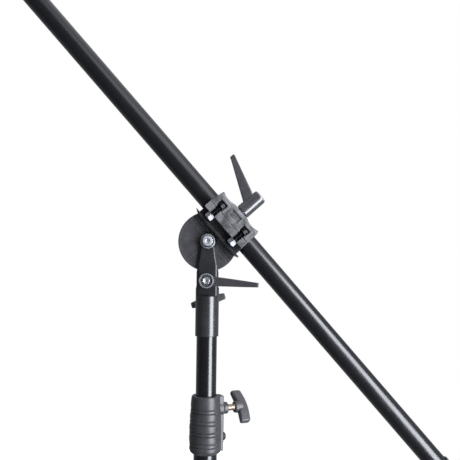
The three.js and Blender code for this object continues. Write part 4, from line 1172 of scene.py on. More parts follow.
@dataclass
class SliderCollar:
    """Ribbed collar round the joint of two telescopic tubes, with its knob and fixing screw."""

    prefix: str
    body: Body
    radius: float
    swell: float
    length: float
    slider: float
    holder: float
    holder_wall: float
    knob_drop: float
    tube_stop: float
    pin_rise: float
    rib_pairs: int
    rib_end: float
    rib_start: float = 15.7
    rib_ring: float = 4.4
    rib_groove: float = 1.5
    rib_depth: float = 0.8
    rib_bulge: float = 0.5
    full_pitch: float = 7.0
    ribs_low: float = 4.0
    ribs_high: float = 2.0
    smooth_angle: float = 68.0
    rib_fade: float = 0.07
    slide_gap: float = 0.25
    seat_gap: float = 0.3
    rail_half: float = 7.0
    rail_reach: float = 4.2
    rail_top: float = 1.2
    rail_foot: float = 1.6
    boss_radius: float = 7.3
    boss_reach: float = 6.6
    stud_radius: float = 4.0
    screw_radius: float = 1.6
    screw_head: float = 5.2
    screw_height: float = 4.2

    @property
    def grip(self) -> float:
        """Length of the holding tube inside the collar."""
        return self.length - self.knob_drop - self.tube_stop

    @property
    def rail_face(self) -> float:
        """Outer face of the rail from the axis."""
        return self.radius + self.rail_reach

    @property
    def seat(self) -> float:
        """Outer face of the boss from the axis."""
        return self.rail_face + self.boss_reach

    @property
    def bore(self) -> Point:
        """Radius of the bore above its step and below it, and the height of the step."""
        return self.slider + self.slide_gap, self.holder + self.seat_gap, self.grip + self.seat_gap

    def plain_radius(self, height: float) -> float:
        """Radius of the smooth barrel.

        Args:
            height: Height above its lower edge.

        Returns:
            The radius.
        """
        share = height / self.length
        turn = math.pi / 2 * min(1.0, 1.5 * (1 - share))
        return self.radius + self.swell * math.sin(turn) ** 1.5

    def grooves(self) -> list[float]:
        """Heights of the rib grooves.

        Returns:
            The heights, lowest first.
        """
        pitch = (self.length - self.rib_start - self.rib_ring - self.rib_end) / max(1, self.rib_pairs - 1)
        uppers = [self.length - self.rib_start - pair * pitch for pair in range(self.rib_pairs)]
        return sorted([*uppers, *[upper - self.rib_ring for upper in uppers]])

    def rib_relief(self, height: float) -> float:
        """How far the ribbed barrel stands off the smooth one.

        Args:
            height: Height above its lower edge.

        Returns:
            The distance, below zero in a groove.
        """
        places = [self.ribs_low, *self.grooves(), self.length - self.ribs_high]
        if not places[0] < height < places[-1]:
            return 0.0
        nearest = min(abs(height - groove) for groove in places[1:-1])
        half = self.rib_groove / 2
        if nearest < half:
            return -self.rib_depth * (0.5 + 0.5 * math.cos(math.pi * nearest / half))
        below = max(place for place in places if place <= height)
        above = min(place for place in places if place >= height)
        across = (height - below) / max(1e-6, above - below)
        fullness = min(1.0, (above - below) / self.full_pitch)
        return self.rib_bulge * fullness * math.sin(math.pi * across) ** 0.6

    def barrel(self) -> Piece:
        """Barrel whose ribs fade out beside the rail.

        Returns:
            The barrel.
        """
        ribbed_length = self.length - self.ribs_low - self.ribs_high
        rise = [self.ribs_low + ribbed_length * i / 150 for i in range(151)]
        foot = self.plain_radius(self.ribs_low)
        upper, lower, step = self.bore
        profile = [
            (foot - 3.4, 0.0), (foot - 1.0, 1.8), *[(self.plain_radius(height), height) for height in rise],
            (self.radius - 0.4, self.length - 0.6), (self.radius - 1.4, self.length),
            (upper, self.length), (upper, step), (lower, step), (lower, 0.0),
        ]
        limit = math.radians(self.smooth_angle)

        def ribbed(reach: float, height: float, angle: float) -> float:
            """Adds the ribs on the side that faces away from the rail.

            Args:
                reach: Radius of the smooth barrel.
                height: Height on it.
                angle: Angle from the rail.

            Returns:
                The radius with its ribs.
            """
            if reach < self.holder + 1.0:
                return reach
            away = min(angle, math.tau - angle)
            share = min(1.0, max(0.0, (away - limit) / self.rib_fade))
            return reach + share * self.rib_relief(height)

        return turned(f"fine_{self.prefix}_collar", profile, DISC_FACETS, 0.3, ribbed)

    def casting(self) -> Piece:
        """The collar with its rail, boss and holes.

        Returns:
            The collar.
        """
        root, face, wide = self.slider + 1.5, self.rail_face, self.boss_radius
        sides = rounded(rectangle((root, face), (-self.rail_half, self.rail_half)), 1.4)
        rail = prism("rail", sides, self.rail_foot, self.length - self.rail_top, Along.Z, 1.0)
        knob_height = self.length - self.knob_drop
        foot = [(0, root), (wide + 2.2, root), (wide + 2.2, face - 1.0), (wide + 0.7, face + 0.3), (wide, face + 1.6)]
        boss = turned("boss", [*foot, (wide, self.seat), (0, self.seat)], SMALL_FACETS, 0.9)
        body = worked(self.barrel(), [rail, moved(boss, (0, 0, knob_height), "Y", 90)], Work.JOIN)
        upper, lower, step = self.bore
        end = self.length + PAST
        profile = [(0, -PAST), (lower, -PAST), (lower, step), (upper, step), (upper, end), (0, end)]
        bore = turned("bore", profile, LARGE_FACETS, 0.0)
        stud = moved(rod(self.stud_radius + BOLT_GAP, 0, self.seat + PAST), (0, 0, knob_height), "Y", 90)
        pin = moved(rod(self.screw_radius + BOLT_GAP, 0, face + PAST), (0, 0, self.pin_rise), "Y", 90)
        return worked(body, [bore, stud, pin], Work.CUT)

    def screw(self) -> Piece:
        """Round-headed fixing screw with a hexagonal recess, along Z from the tube's axis.

        Returns:
            The screw.
        """
        face = self.rail_face + self.seat_gap
        top = face + self.screw_height
        inner = self.holder - self.holder_wall + self.seat_gap
        thin, wide = self.screw_radius, self.screw_head
        profile = [
            (0, inner), (thin, inner), (thin, face), (wide, face), (wide, face + 0.6),
            (wide * 0.96, face + self.screw_height * 0.62), (wide * 0.76, top - 0.3), (0, top),
        ]
        screw = turned(f"fine_{self.prefix}_collar_screw", profile, SMALL_FACETS, 0.5)
        return worked(screw, [hexagon(2.5, top - 1.4, top + PAST)], Work.CUT)

    def build(self, fitter: Fitter, foot: Matrix, yaw: float, roll: float, knob_body: Body) -> None:
        """Makes the collar with its knob, pad and screw.

        Args:
            fitter: Puts the pieces in place.
            foot: Frame on the tube's axis at the collar's lower edge.
            yaw: Degrees from the frame's X to the knob.
            roll: Degrees that the knob's bar is turned.
            knob_body: Body of the knob.
        """
        fitter.fit(self.casting(), foot @ rotation(yaw, "Z"), self.body, RIBBED_CASTING, f"{self.prefix}_collar")
        pin = foot @ lift(self.pin_rise)
        fitter.fit(self.screw(), outward(pin, yaw, 0), self.body, DARK_STEEL_AND_POCKET_SHADE, f"{self.prefix}_collar_screw")
        fitter.dress(f"{self.prefix}_brake_pad", BLACK_RUBBER)
        knob_axis = foot @ lift(self.length - self.knob_drop)
        pad_end = self.slider + 2 * self.seat_gap + 2.0
        knob = BarKnob(self.prefix, knob_body, pad_end - self.seat)
        knob.build(fitter, outward(knob_axis, yaw, self.seat, roll))


@dataclass
class Mast:
    """Lower tube with its foot plug and collar, and the riser that slides in it."""

    tube_radius: float = 14.5
    tube_wall: float = 1.5
    tube_edge: float = 0.35
    plug_depth: float = 24.0
    plug_flange: float = 4.0
    collar_drop: float = 188.0
    collar_yaw: float = 25.0
    knob_roll: float = -45.0
    riser_radius: float = 12.5
    riser_wall: float = 1.3
    riser_low: float = 101.7
    riser_drop: float = 68.3
    collar: SliderCollar = field(
        default_factory=lambda: SliderCollar(
            prefix="mast", body=Body.MAST, radius=17.4, swell=2.0, length=70.6, slider=12.5, holder=14.5,
            holder_wall=1.5, knob_drop=17.6, tube_stop=9.0, pin_rise=18.2, rib_pairs=4, rib_end=9.7,
        )
    )

    def plug(self) -> Piece:
        """Rubber plug with grip rings above its flange.

        Returns:
            The plug.
        """
        wide, flange = self.tube_radius, self.plug_flange
        inner = wide - self.tube_wall - 0.3
        rings = [(inner - (0.5 if i % 2 else 0.0), flange + 2 + 1.6 * i) for i in range(11)]
        sides = [(0, 0), (wide - 0.8, 0), (wide, 0.8), (wide, flange), (inner, flange), *rings]
        hollow = [(inner - 1, self.plug_depth), (inner - 3, self.plug_depth), (inner - 3, flange), (0, flange)]
        return turned("fine_foot_plug", [*sides, *hollow], LARGE_FACETS, 0.3)

    def build(self, fitter: Fitter, stance: Stance) -> None:
        """Makes the mast's tubes and collar.

        Args:
            fitter: Puts the pieces in place.
            stance: Where the arm's axes stand.
        """
        collar_foot = stance.pivot_height - self.collar_drop - self.collar.length
        tube_low = self.plug_flange + 0.3
        tube_length = collar_foot + self.collar.grip - tube_low
        lower = tube("fine_lower_tube", self.tube_radius, self.tube_wall, tube_length, self.tube_edge)
        pin = rod(self.collar.screw_radius + BOLT_GAP, 0, self.tube_radius + 2)
        moved(pin, (0, 0, collar_foot + self.collar.pin_rise - tube_low), "Y", 90)
        pin.matrix_world = rotation(self.collar_yaw, "Z")
        worked(lower, [pin], Work.CUT)
        fitter.fit(lower, stance.mast(tube_low), Body.MAST, GLOSS_TUBE, "lower_tube")
        fitter.fit(self.plug(), stance.mast(0), Body.MAST, BLACK_RUBBER, "foot_plug")
        foot = stance.mast(collar_foot)
        self.collar.build(fitter, foot, self.collar_yaw, self.knob_roll, Body.MAST_KNOB)
        riser_length = stance.pivot_height - self.riser_drop - self.riser_low
        riser = tube("fine_riser_tube", self.riser_radius, self.riser_wall, riser_length, self.tube_edge)
        fitter.fit(riser, stance.mast(self.riser_low), Body.RISER, GLOSS_TUBE, "riser_tube")
        fitter.dress("riser_bush", GREY_NYLON)


@dataclass
class ClampingLever:
    """Adjustable clamping lever: handle, toothed insert with its stud, screw and spring."""

    prefix: str
    stud_body: Body
    handle_body: Body
    stud_end: float
    hub_radius: float = 9.15
    hub_top: float = 8.9
    crest_radius: float = 7.7
    dish_radius: float = 7.0
    dish_depth: float = 2.6
    hub_height: float = 30.0
    reach: float = 60.6
    root_low: float = 7.5
    root_high: float = 23.2
    root_width: float = 11.4
    taper: float = 1.2
    tip_height: float = 35.1
    tip_width: float = 5.4
    tip_thickness: float = 6.5
    tip_round: float = 2.0
    tip_rings: tuple[Pair, ...] = ((0.97, 1.1), (0.88, 1.7), (0.72, 2.0))
    squareness: float = 0.22
    bore: float = 6.9
    web_low: float = 14.0
    web_high: float = 16.0
    well: float = 4.5
    tooth_low: float = 5.5
    tooth_high: float = 9.0
    tooth_radius: float = 6.2
    tooth_depth: float = 0.8
    teeth: int = 14
    stud_radius: float = 4.0
    screw_radius: float = 2.0
    screw_head: float = 4.2
    screw_seat: float = 26.0
    screw_height: float = 3.1

    def arm(self) -> Piece:
        """Tapering arm from inside the hub to its rounded tip.

        Returns:
            The arm.
        """
        root, end = self.well + 1.0, self.reach - self.tip_round
        rings = []
        for i in range(17):
            share = i / 16
            high = self.root_high + (self.tip_height + self.tip_thickness / 2 - self.root_high) * share
            low = self.root_low + (self.tip_height - self.tip_thickness / 2 - self.root_low) * share
            width = self.root_width + (self.tip_width - self.root_width) * share**self.taper
            rings.append(soft_ring(root + (end - root) * share, low, high, width, self.squareness))
        for size, advance in self.tip_rings:
            low = self.tip_height - self.tip_thickness * size / 2
            high = self.tip_height + self.tip_thickness * size / 2
            rings.append(soft_ring(end + advance, low, high, self.tip_width * size, self.squareness))
        return lofted("arm", rings)

    def teeth_ring(self, extra: float, low: float, high: float) -> Piece:
        """Toothed disc along Z.

        Args:
            extra: Clearance, where it is a cutter.
            low: Lower end.
            high: Upper end.

        Returns:
            The disc.
        """
        outline = []
        for i in range(2 * self.teeth):
            radius = self.tooth_radius + extra - (self.tooth_depth if i % 2 else 0.0)
            angle = math.pi * i / self.teeth
            outline.append((radius * math.cos(angle), radius * math.sin(angle)))
        return prism("teeth", outline, low, high)

    def handle(self) -> Piece:
        """Cast handle with its hub, arm and toothed socket.

        Returns:
            The handle.
        """
        rim, crown, top = self.hub_radius, self.hub_top, self.hub_height
        profile = [
            (0, 0), (rim - 0.5, 0), (rim, 0.7), (crown, top - 4.0), (crown - 0.2, top - 1.9), (crown - 0.6, top - 0.9),
            (self.crest_radius, top - 0.3), (self.dish_radius + 0.3, top - 0.6),
            (self.dish_radius, top - self.dish_depth), (0, top - self.dish_depth),
        ]
        hub = turned(f"fine_{self.prefix}", profile, LARGE_FACETS, 0.5)
        worked(hub, [self.arm()], Work.JOIN)
        cuts = [
            rod(self.well, self.web_high, THROUGH),
            rod(self.bore, -PAST, self.tooth_low - 0.3),
            self.teeth_ring(0.3, self.tooth_low - 0.4, self.web_low),
            rod(self.screw_radius + 0.6, self.web_low - PAST, self.web_high + PAST),
        ]
        return worked(hub, cuts, Work.CUT)

    def on_crest(self, middle: Vector) -> bool:
        """Whether a place lies on the crest round the hub's top, which is painted lighter as rubbed paint and as a
        painted highlight.
        """
        across = math.hypot(middle.x, middle.y)
        return 0 < self.hub_height - middle.z < 1.8 and self.dish_radius + 0.3 < across < self.hub_radius

    def insert(self) -> Piece:
        """Toothed insert on a threaded stud.

        Returns:
            The insert.
        """
        teeth = self.teeth_ring(0, self.tooth_low, self.tooth_high)
        stud = threaded(
            f"fine_{self.prefix}_insert", self.stud_radius, self.stud_end, self.tooth_low + 1, 1.25, (1.0, 0.0)
        )
        worked(stud, [teeth], Work.JOIN)
        hole = rod(self.screw_radius + BOLT_GAP, self.tooth_low - 3, self.tooth_high + PAST)
        return worked(stud, [hole], Work.CUT)

    def screw(self) -> Piece:
        """Hollow-headed screw in the hub's well, with a hexagonal recess.

        Returns:
            The screw.
        """
        low, seat = self.tooth_low - 2.7, self.screw_seat
        top = seat + self.screw_height
        thin, wide = self.screw_radius, self.screw_head
        profile = [
            (0, low), (thin, low), (thin, seat), (wide, seat), (wide, top - 0.5), (0.88 * wide, top),
            (0.74 * wide, top - 0.2), (0.5 * wide, top - 0.45), (0, top - 0.6),
        ]
        screw = turned(f"fine_{self.prefix}_screw", profile, SMALL_FACETS, 0.3)
        key_end = top - 2.0
        return worked(screw, [hexagon(2.5, key_end, top + PAST), drilled(1.25, key_end)], Work.CUT)

    def build(self, fitter: Fitter, place: Matrix) -> None:
        """Makes the lever on a frame at its hub's lower face, with its arm along X.

        Args:
            fitter: Puts the pieces in place.
            place: Frame of the lever.
        """
        handle = self.handle()
        fitter.fit(handle, place, self.handle_body, LEVER_CASTING, self.prefix)
        # The hub's crest is painted lighter: rubbed paint plus a painted highlight ring.
        fitter.touch_up(handle, RUBBED_AND_LIT_RIM, self.on_crest)
        fitter.fit(self.insert(), place, self.stud_body, BRIGHT_STEEL, f"{self.prefix}_insert")
        fitter.fit(self.screw(), place, self.stud_body, BRIGHT_STEEL, f"{self.prefix}_screw")
        fitter.dress(f"{self.prefix}_spring", BRIGHT_STEEL)


@dataclass
class SwivelHead:
    """Forked socket on the riser, with the pivot bolt, brake lever and rear knob."""

    socket_radius: float = 14.3
    socket_bottom: float = 115.6
    bore_top: float = 68.0
    flat_end: float = 66.3
    half_depth: float = 9.14
    slot_half: float = 4.8
    slot_bottom: float = 56.0
    eye_radius: float = 9.9
    neck_half: float = 8.3
    neck_drop: float = 6.0
    flare_drop: float = 43.0
    boss_radius: float = 9.6
    boss_depth: float = 11.3
    bevel_width: float = 1.4
    bevel_height: float = 0.8
    seat_depth: float = 8.6
    seat_radius: float = 7.3
    riser_radius: float = 12.5
    knob_drop: float = 73.6
    knob_boss: float = 2.6
    knob_boss_radius: float = 7.3
    knob_roll: float = 73.0
    bolt_radius: float = 4.0
    head_radius: float = 6.5
    head_height: float = 8.0
    nut_flats: float = 13.0
    nut_height: float = 6.5
    bolt_tail: float = 2.2
    brake_drop: float = 47.8
    brake_fall: float = 4.1
    washer_radius: float = 8.4
    washer_thickness: float = 1.6
    lever_lift: float = 2.0
    gap: float = 0.3

    def half_outline(self) -> list[Pair]:
        """Right half of the fork's front view, from the flare up to the eye's top.

        Returns:
            The outline.
        """
        meet = math.asin(self.neck_half / self.eye_radius)
        start = Vector((self.socket_radius, -self.flare_drop))
        first = Vector((self.socket_radius - 1.6, -self.flare_drop * 0.74))
        second = Vector((self.neck_half + 0.4, -self.flare_drop * 0.48))
        end = Vector((self.neck_half, -self.neck_drop))
        flare = []
        for t in (i / 20 for i in range(21)):
            point = start * (1 - t) ** 3 + first * 3 * t * (1 - t) ** 2 + second * 3 * t * t * (1 - t) + end * t**3
            flare.append(tuple(point))
        turns = [meet - math.pi / 2 + (math.pi - meet) * i / 20 for i in range(21)]
        eye = [(self.eye_radius * math.cos(t), self.eye_radius * math.sin(t)) for t in turns]
        return [(self.socket_radius, -self.flat_end - 3.2), *flare, *eye]

    def yoke(self) -> Piece:
        """The forked casting, with its socket, bosses, flats and holes.

        Returns:
            The yoke.
        """
        half, fall = self.half_depth, self.bevel_height / self.bevel_width
        right = self.half_outline()
        left = [(-x, z) for x, z in reversed(right[:-1])]
        fork = prism("fork", [*right, *left], -half, half, Along.Y, self.bevel_height, self.bevel_width)
        worked(fork, [rod(self.socket_radius, -self.flat_end - 4, self.eye_radius + 2, LARGE_FACETS)], Work.COMMON)
        sides = rectangle((0, self.socket_radius), (-self.socket_bottom, -self.flat_end))
        socket = turned("fine_yoke", sides, LARGE_FACETS, 0.6)
        crest = self.seat_radius + 0.2
        slope = self.boss_depth - (self.boss_radius - crest) * fall
        profile = [(0, -self.boss_depth), (crest, -self.boss_depth), (self.boss_radius, -slope)]
        profile += [(radius, -height) for radius, height in reversed(profile)]
        boss = moved(turned("boss", profile, LARGE_FACETS, 0.2), axis="X", degrees=90)
        knob_boss = rod(self.knob_boss_radius, self.riser_radius + 1, self.socket_radius + self.knob_boss)
        moved(knob_boss, (0, 0, -self.knob_drop), "X", -90)
        worked(socket, [fork, boss, knob_boss], Work.JOIN)
        slot = rounded(rectangle((-self.slot_half, self.slot_half), (-self.slot_bottom, self.eye_radius + 4)), 2.0)
        hole = self.bolt_radius + BOLT_GAP
        cuts = [
            prism("slot", slot, -THROUGH, THROUGH, Along.X),
            rod(self.riser_radius + 0.25, -self.socket_bottom - PAST, -self.bore_top, LARGE_FACETS),
            moved(rod(hole, -THROUGH, THROUGH), axis="X", degrees=90),
            moved(rod(self.seat_radius, self.seat_depth, THROUGH), axis="X", degrees=90),
            moved(rod(self.nut_flats / math.sqrt(3) + self.gap, self.seat_depth, THROUGH), axis="X", degrees=-90),
            moved(rod(hole, -THROUGH, THROUGH), (0, 0, -self.brake_drop), "X", 90),
            moved(rod(hole, 0, THROUGH), (0, 0, -self.knob_drop), "X", -90),
        ]
        start = math.sqrt(self.socket_radius**2 - half**2) - 0.7 * self.bevel_width
        wedge = [(start, half), (start + 9, half - 9 * fall), (start + 9, 14), (start, 14)]
        for side in (-1, 1):
            for face in (-1, 1):
                corner = [(side * x, face * y) for x, y in wedge]
                cuts.append(prism("wedge", corner, -self.flat_end - 0.2, 0))
        return cast(worked(socket, cuts, Work.CUT), grain=0.3, passes=8, kept=0.3)

    def on_rim(self, middle: Vector) -> bool:
        """Whether a place lies on the sloping rim round the bolt's head or the nut, which is painted lighter as rubbed
        paint and as a painted highlight.
        """
        across = math.hypot(middle.x, middle.z)
        return abs(middle.y) > self.boss_depth - 0.8 and self.seat_radius + 0.1 < across < self.boss_radius - 0.2

    def bolt(self) -> Piece:
        """Cap screw with a knurled head and a hexagonal recess, along Z towards its head.

        Returns:
            The bolt.
        """
        low = self.seat_depth + self.gap
        top = low + self.head_height
        tail = low + self.nut_height + self.bolt_tail
        thin, wide = self.bolt_radius, self.head_radius

        def knurl(reach: float, height: float, angle: float) -> float:
            """Cuts the knurl into the side of the head."""
            on_side = low + 1.0 < height < top - 1.2 and reach > wide - 0.1
            return reach - (0.16 * (0.5 + 0.5 * math.cos(40 * angle)) if on_side else 0.0)

        side = [(wide, low + 1.0 + (self.head_height - 2.2) * i / 6) for i in range(7)]
        shank = [(0, -tail), (thin, -tail), (thin, low), (wide, low)]
        profile = [*shank, *side, (wide - 0.1, top - 0.7), (wide - 0.8, top), (0, top)]
        bolt = turned("fine_pivot_bolt", profile, 160, 0.3, knurl)
        key_end = top - 4.0
        return worked(bolt, [hexagon(6, key_end, top + PAST), drilled(3.0, key_end)], Work.CUT)

    def nut(self, name: str, low: float) -> Piece:
        """Nut of the head's bolts along Z, above a height."""
        ease = (0.8, 0.7)
        return hexagon_nut(name, self.nut_flats, (low, low + self.nut_height), self.bolt_radius, ease, ease)

    def build(self, fitter: Fitter, stance: Stance) -> None:
        """Makes the head's pieces.

        Args:
            fitter: Puts the pieces in place.
            stance: Where the arm's axes stand.
        """
        yoke = self.yoke()
        fitter.fit(yoke, stance.pivot(), Body.HEAD, YOKE_CASTING, "yoke")
        # The boss rim round the bolt's head is painted lighter: rubbed paint plus a painted highlight ring.
        fitter.touch_up(yoke, RUBBED_AND_LIT_RIM, self.on_rim)
        fitter.touch_up(yoke, SLEEVE_CASTING, lambda middle: middle.z < -self.flat_end - 0.6)
        front = stance.facing_front(0, 0)
        back = stance.pivot() @ rotation(-90, "X")
        fitter.fit(self.bolt(), front, Body.HEAD, MATT_ZINC, "pivot_bolt")
        fitter.fit(self.nut("fine_pivot_nut", self.seat_depth + self.gap), back, Body.HEAD, BRIGHT_STEEL, "pivot_nut")
        fitter.dress("friction_washer_front", BLACK_RUBBER)
        fitter.dress("friction_washer_back", BLACK_RUBBER)
        seat = self.half_depth + self.gap
        low_front = stance.facing_front(self.brake_drop, 0)
        low_back = stance.pivot(self.brake_drop) @ rotation(-90, "X")
        section = rectangle((self.bolt_radius + BOLT_GAP, self.washer_radius), (seat, seat + self.washer_thickness))
        washer = turned("fine_brake_washer", section, SMALL_FACETS)
        fitter.fit(washer, low_front, Body.HEAD, BRIGHT_STEEL, "brake_washer")
        fitter.fit(self.nut("fine_brake_nut", seat), low_back, Body.HEAD, BRIGHT_STEEL, "brake_nut")
        base = seat + self.washer_thickness + self.lever_lift
        stud_end = -base - seat - self.nut_height - self.bolt_tail
        lever = ClampingLever("brake_lever", Body.BRAKE_STUD, Body.BRAKE_HANDLE, stud_end)
        lever.build(fitter, stance.facing_front(self.brake_drop, base) @ rotation(-self.brake_fall, "Z"))
        knob_seat = self.socket_radius + self.knob_boss
        knob = BarKnob("yoke", Body.YOKE_KNOB, self.riser_radius + 0.6 - knob_seat)
        knob.build(fitter, outward(stance.pivot(self.knob_drop), 90, knob_seat, self.knob_roll))


@dataclass
class TubeClamp:
    """Two-part clamp on the friction disc's flange, with its screws, pad and lever."""

    half_length: float = 33.5
    half_depth: float = 22.5
    top: float = 19.2
    dip: float = 2.5
    end_lean: float = 2.2
    boss_half: float = 9.8
    shoulder: float = 5.0
    shoulder_spread: float = 8.0
    ear_drop: float = 9.8
    foot_half: float = 11.4
    seam: float = 0.5
    window_half: float = 7.6
    window_low: float = 4.6
    window_high: float = 13.2
    window_depth: float = 1.6
    tube_radius: float = 12.5
    slide_gap: float = 0.25
    screw_pitch: float = 40.6
    screw_depth: float = 17.9
    screw_radius: float = 3.0
    screw_top: float = 9.0
    screw_flange: float = 6.0
    flange_height: float = 1.2
    hex_height: float = 5.4
    nut_flats: float = 10.0
    nut_height: float = 5.0
    pocket_top: float = 10.5
    channel_half: float = 4.3
    frame_width: float = 2.0
    frame_proud: float = 0.7
    pad_radius: float = 5.5
    pad_thickness: float = 2.4
    stud_radius: float = 4.0
    lever_lift: float = 2.0
    flange_top: float = 15.9
    saddle_pitch: float = 50.0
    saddle_depth: float = 7.6
    saddle_radius: float = 2.0
    saddle_length: float = 6.0
    gap: float = 0.3

    def places(self, pitch: float, depth: float) -> list[Pair]:
        """Four places about the clamp's middle."""
        return [(x, y) for x in (pitch / 2, -pitch / 2) for y in (depth, -depth)]

    def outer_side(self, y: float) -> Pair:
        """Range in Y from a screw's axis out past the clamp's side."""
        return (y, self.half_depth + 1) if y > 0 else (-self.half_depth - 1, y)

    def bore(self) -> Piece:
        """Cutter for the boom's bore."""
        return moved(rod(self.tube_radius + self.slide_gap, -THROUGH, THROUGH, LARGE_FACETS), axis="Y", degrees=90)

    def cap_outline(self) -> list[Pair]:
        """Front view of the upper half, with its saddles on both sides of the lever's boss.

        Returns:
            The outline.
        """
        low = self.seam / 2
        start, end = self.half_length - self.end_lean, self.boss_half + 0.6
        shares = [i / 12 for i in range(13)]
        saddle = [(start + (end - start) * t, self.top - 4 * t * (1 - t) * self.dip) for t in shares]
        right = [(self.half_length, low), *saddle, (self.boss_half, self.top)]
        return [*right, *[(-x, z) for x, z in reversed(right)]]

    def cap_section(self) -> list[Pair]:
        """End view of the upper half, with its rounded shoulders.

        Returns:
            The outline.
        """
        low = self.seam / 2 - 1
        right = [(self.half_depth, low), (self.half_depth, self.top - self.shoulder)]
        start = Vector((self.half_depth, self.top - self.shoulder))
        bend = Vector((self.half_depth, self.top))
        end = Vector((self.half_depth - self.shoulder_spread, self.top + 0.01))
        for t in (i / 12 for i in range(1, 13)):
            right.append(tuple(start * (1 - t) ** 2 + bend * 2 * t * (1 - t) + end * t * t))
        return [*right, *[(-y, z) for y, z in reversed(right)]]

    def cap(self) -> Piece:
        """Upper half of the clamp, with its pockets, frames and window.

        Returns:
            The upper half.
        """
        depth, end = self.half_depth, self.half_length + PAST
        cap = prism("fine_clamp_cap", self.cap_outline(), -depth, depth, Along.Y)
        worked(cap, [prism("section", self.cap_section(), -end, end, Along.X)], Work.COMMON)
        start, proud, border = self.nut_flats / 2 + 0.5, depth + self.frame_proud, self.pocket_top + self.frame_width
        frames = []
        for x in (-self.screw_pitch / 2, self.screw_pitch / 2):
            side = (x + start, x + start + self.frame_width)
            frames.append(block(side, (-proud, proud), (0.6, border)))
            frames.append(block((x - start, side[1]), (-proud, proud), (self.pocket_top + 0.4, border)))
        worked(cap, frames, Work.JOIN)
        nut_low = self.screw_top - self.nut_height - self.gap
        pad_roof = self.tube_radius + 2 * self.gap + self.pad_thickness
        cuts = [self.bore(), rod(self.pad_radius + BOLT_GAP, 0, pad_roof)]
        cuts.append(rod(self.stud_radius + BOLT_GAP, 0, self.top + PAST))
        half, deep = self.nut_flats / 2 + BOLT_GAP, self.nut_flats / math.sqrt(3) + BOLT_GAP
        for x, y in self.places(self.screw_pitch, self.screw_depth):
            side = self.outer_side(y)
            pocket = (y - deep, side[1]) if y > 0 else (side[0], y + deep)
            cuts.append(block((x - self.channel_half, x + self.channel_half), side, (0, nut_low + 1)))
            cuts.append(block((x - half, x + half), pocket, (nut_low, self.pocket_top)))
            cuts.append(moved(rod(self.screw_radius + BOLT_GAP, 0, nut_low + 1), (x, y, 0)))
        window = rounded(rectangle((-self.window_half, self.window_half), (self.window_low, self.window_high)), 1.0)
        for side in (-1, 1):
            near, far = sorted((side * (depth - self.window_depth), side * (depth + PAST)))
            cuts.append(prism("window", window, near, far, Along.Y))
        return cast(worked(cap, cuts, Work.CUT), passes=3)

    def base(self, offset: float) -> Piece:
        """Lower half of the clamp.

        Args:
            offset: Boom axis above the tilt axis.

        Returns:
            The lower half.
        """
        seat, drop = self.flange_top + self.gap - offset, -self.ear_drop
        left = [(-self.half_depth, -self.seam / 2), (-self.half_depth, drop), (-self.foot_half, drop)]
        left.append((-self.foot_half, seat))
        section = [*left, *[(-y, z) for y, z in reversed(left)]]
        base = prism("fine_clamp_base", section, -self.half_length, self.half_length, Along.X)
        cuts = [self.bore()]
        for x, y in self.places(self.screw_pitch, self.screw_depth):
            channel = (x - self.channel_half, x + self.channel_half)
            cuts.append(block(channel, self.outer_side(y), (drop - PAST, PAST)))
            cuts.append(moved(rod(self.screw_radius + BOLT_GAP, drop - PAST, PAST), (x, y, 0)))
            cuts.append(moved(rod(self.screw_flange + self.gap, seat - PAST, drop), (x, y, 0)))
        roof = self.flange_top - offset + self.saddle_length
        for x, y in self.places(self.saddle_pitch, self.saddle_depth):
            cuts.append(moved(rod(self.saddle_radius + BOLT_GAP, seat - PAST, roof), (x, y, 0)))
        return cast(worked(base, cuts, Work.CUT), passes=3)

    def screw(self, name: str) -> Piece:
        """Flanged hexagon screw with its thread, along Z.

        Args:
            name: Name of the screw.

        Returns:
            The screw.
        """
        seat = -self.ear_drop - self.gap
        flange_low = seat - self.flange_height
        head = eased_hexagon(self.nut_flats, flange_low - self.hex_height, flange_low + 0.5, (0.9, 0.9), None)
        rim = [(0, flange_low), (self.screw_flange, flange_low), (self.screw_flange, seat), (0, seat)]
        flange = turned("flange", rim, SMALL_FACETS, 0.4)
        shank = threaded(name, self.screw_radius, seat - 0.5, self.screw_top, 1.0, (0.0, 0.7))
        return worked(shank, [flange, head], Work.JOIN)

    def nut(self, name: str) -> Piece:
        """Nut in its pocket, along Z."""
        ends = (self.screw_top - self.nut_height, self.screw_top)
        return hexagon_nut(name, self.nut_flats, ends, self.screw_radius, None, (0.7, 0.6))

    def build(self, fitter: Fitter, stance: Stance) -> None:
        """Makes the clamp's pieces.

        Args:
            fitter: Puts the pieces in place.
            stance: Where the arm's axes stand.
        """
        body = Body.BOOM_HEAD
        base = self.base(stance.boom_offset)
        fitter.fit(base, stance.clamp(), body, CLAMP_CASTING, "clamp_base")
        # Painted shadow: the set-back foot below the ears gets the black casting finish for the shade the ears cast on
        # it.
        fitter.touch_up(base, YOKE_CASTING, lambda middle: middle.z < -self.ear_drop - 0.5)
        fitter.fit(self.cap(), stance.clamp(), body, CLAMP_CASTING, "clamp_cap")
        for i, (x, y) in enumerate(self.places(self.screw_pitch, self.screw_depth), 1):
            screw = self.screw(f"fine_clamp_screw_{i}")
            fitter.fit(screw, stance.clamp(x, y), body, DULL_STEEL, f"clamp_screw_{i}")
            # Painted shade: the screw's shank and the nut in the pocket are darkened for the shadow inside the pocket;
            # the head below stays bright.
            fitter.touch_up(screw, DARK_STEEL_AND_POCKET_SHADE, lambda middle: middle.z > -self.ear_drop - self.gap)
            fitter.fit(self.nut(f"fine_clamp_nut_{i}"), stance.clamp(x, y), body, DARK_STEEL_AND_POCKET_SHADE, f"clamp_nut_{i}")
            fitter.dress(f"saddle_screw_{i}", BRIGHT_STEEL)
        fitter.dress("clamp_pad", BLACK_RUBBER)
        lever_base = self.top + self.lever_lift
        stud_end = self.tube_radius + 2 * self.gap + self.pad_thickness - lever_base
        lever = ClampingLever("boom_lever", Body.BOOM_STUD, Body.BOOM_HANDLE, stud_end)
        lever.build(fitter, stance.clamp(0, 0, lever_base) @ rotation(180, "Z"))


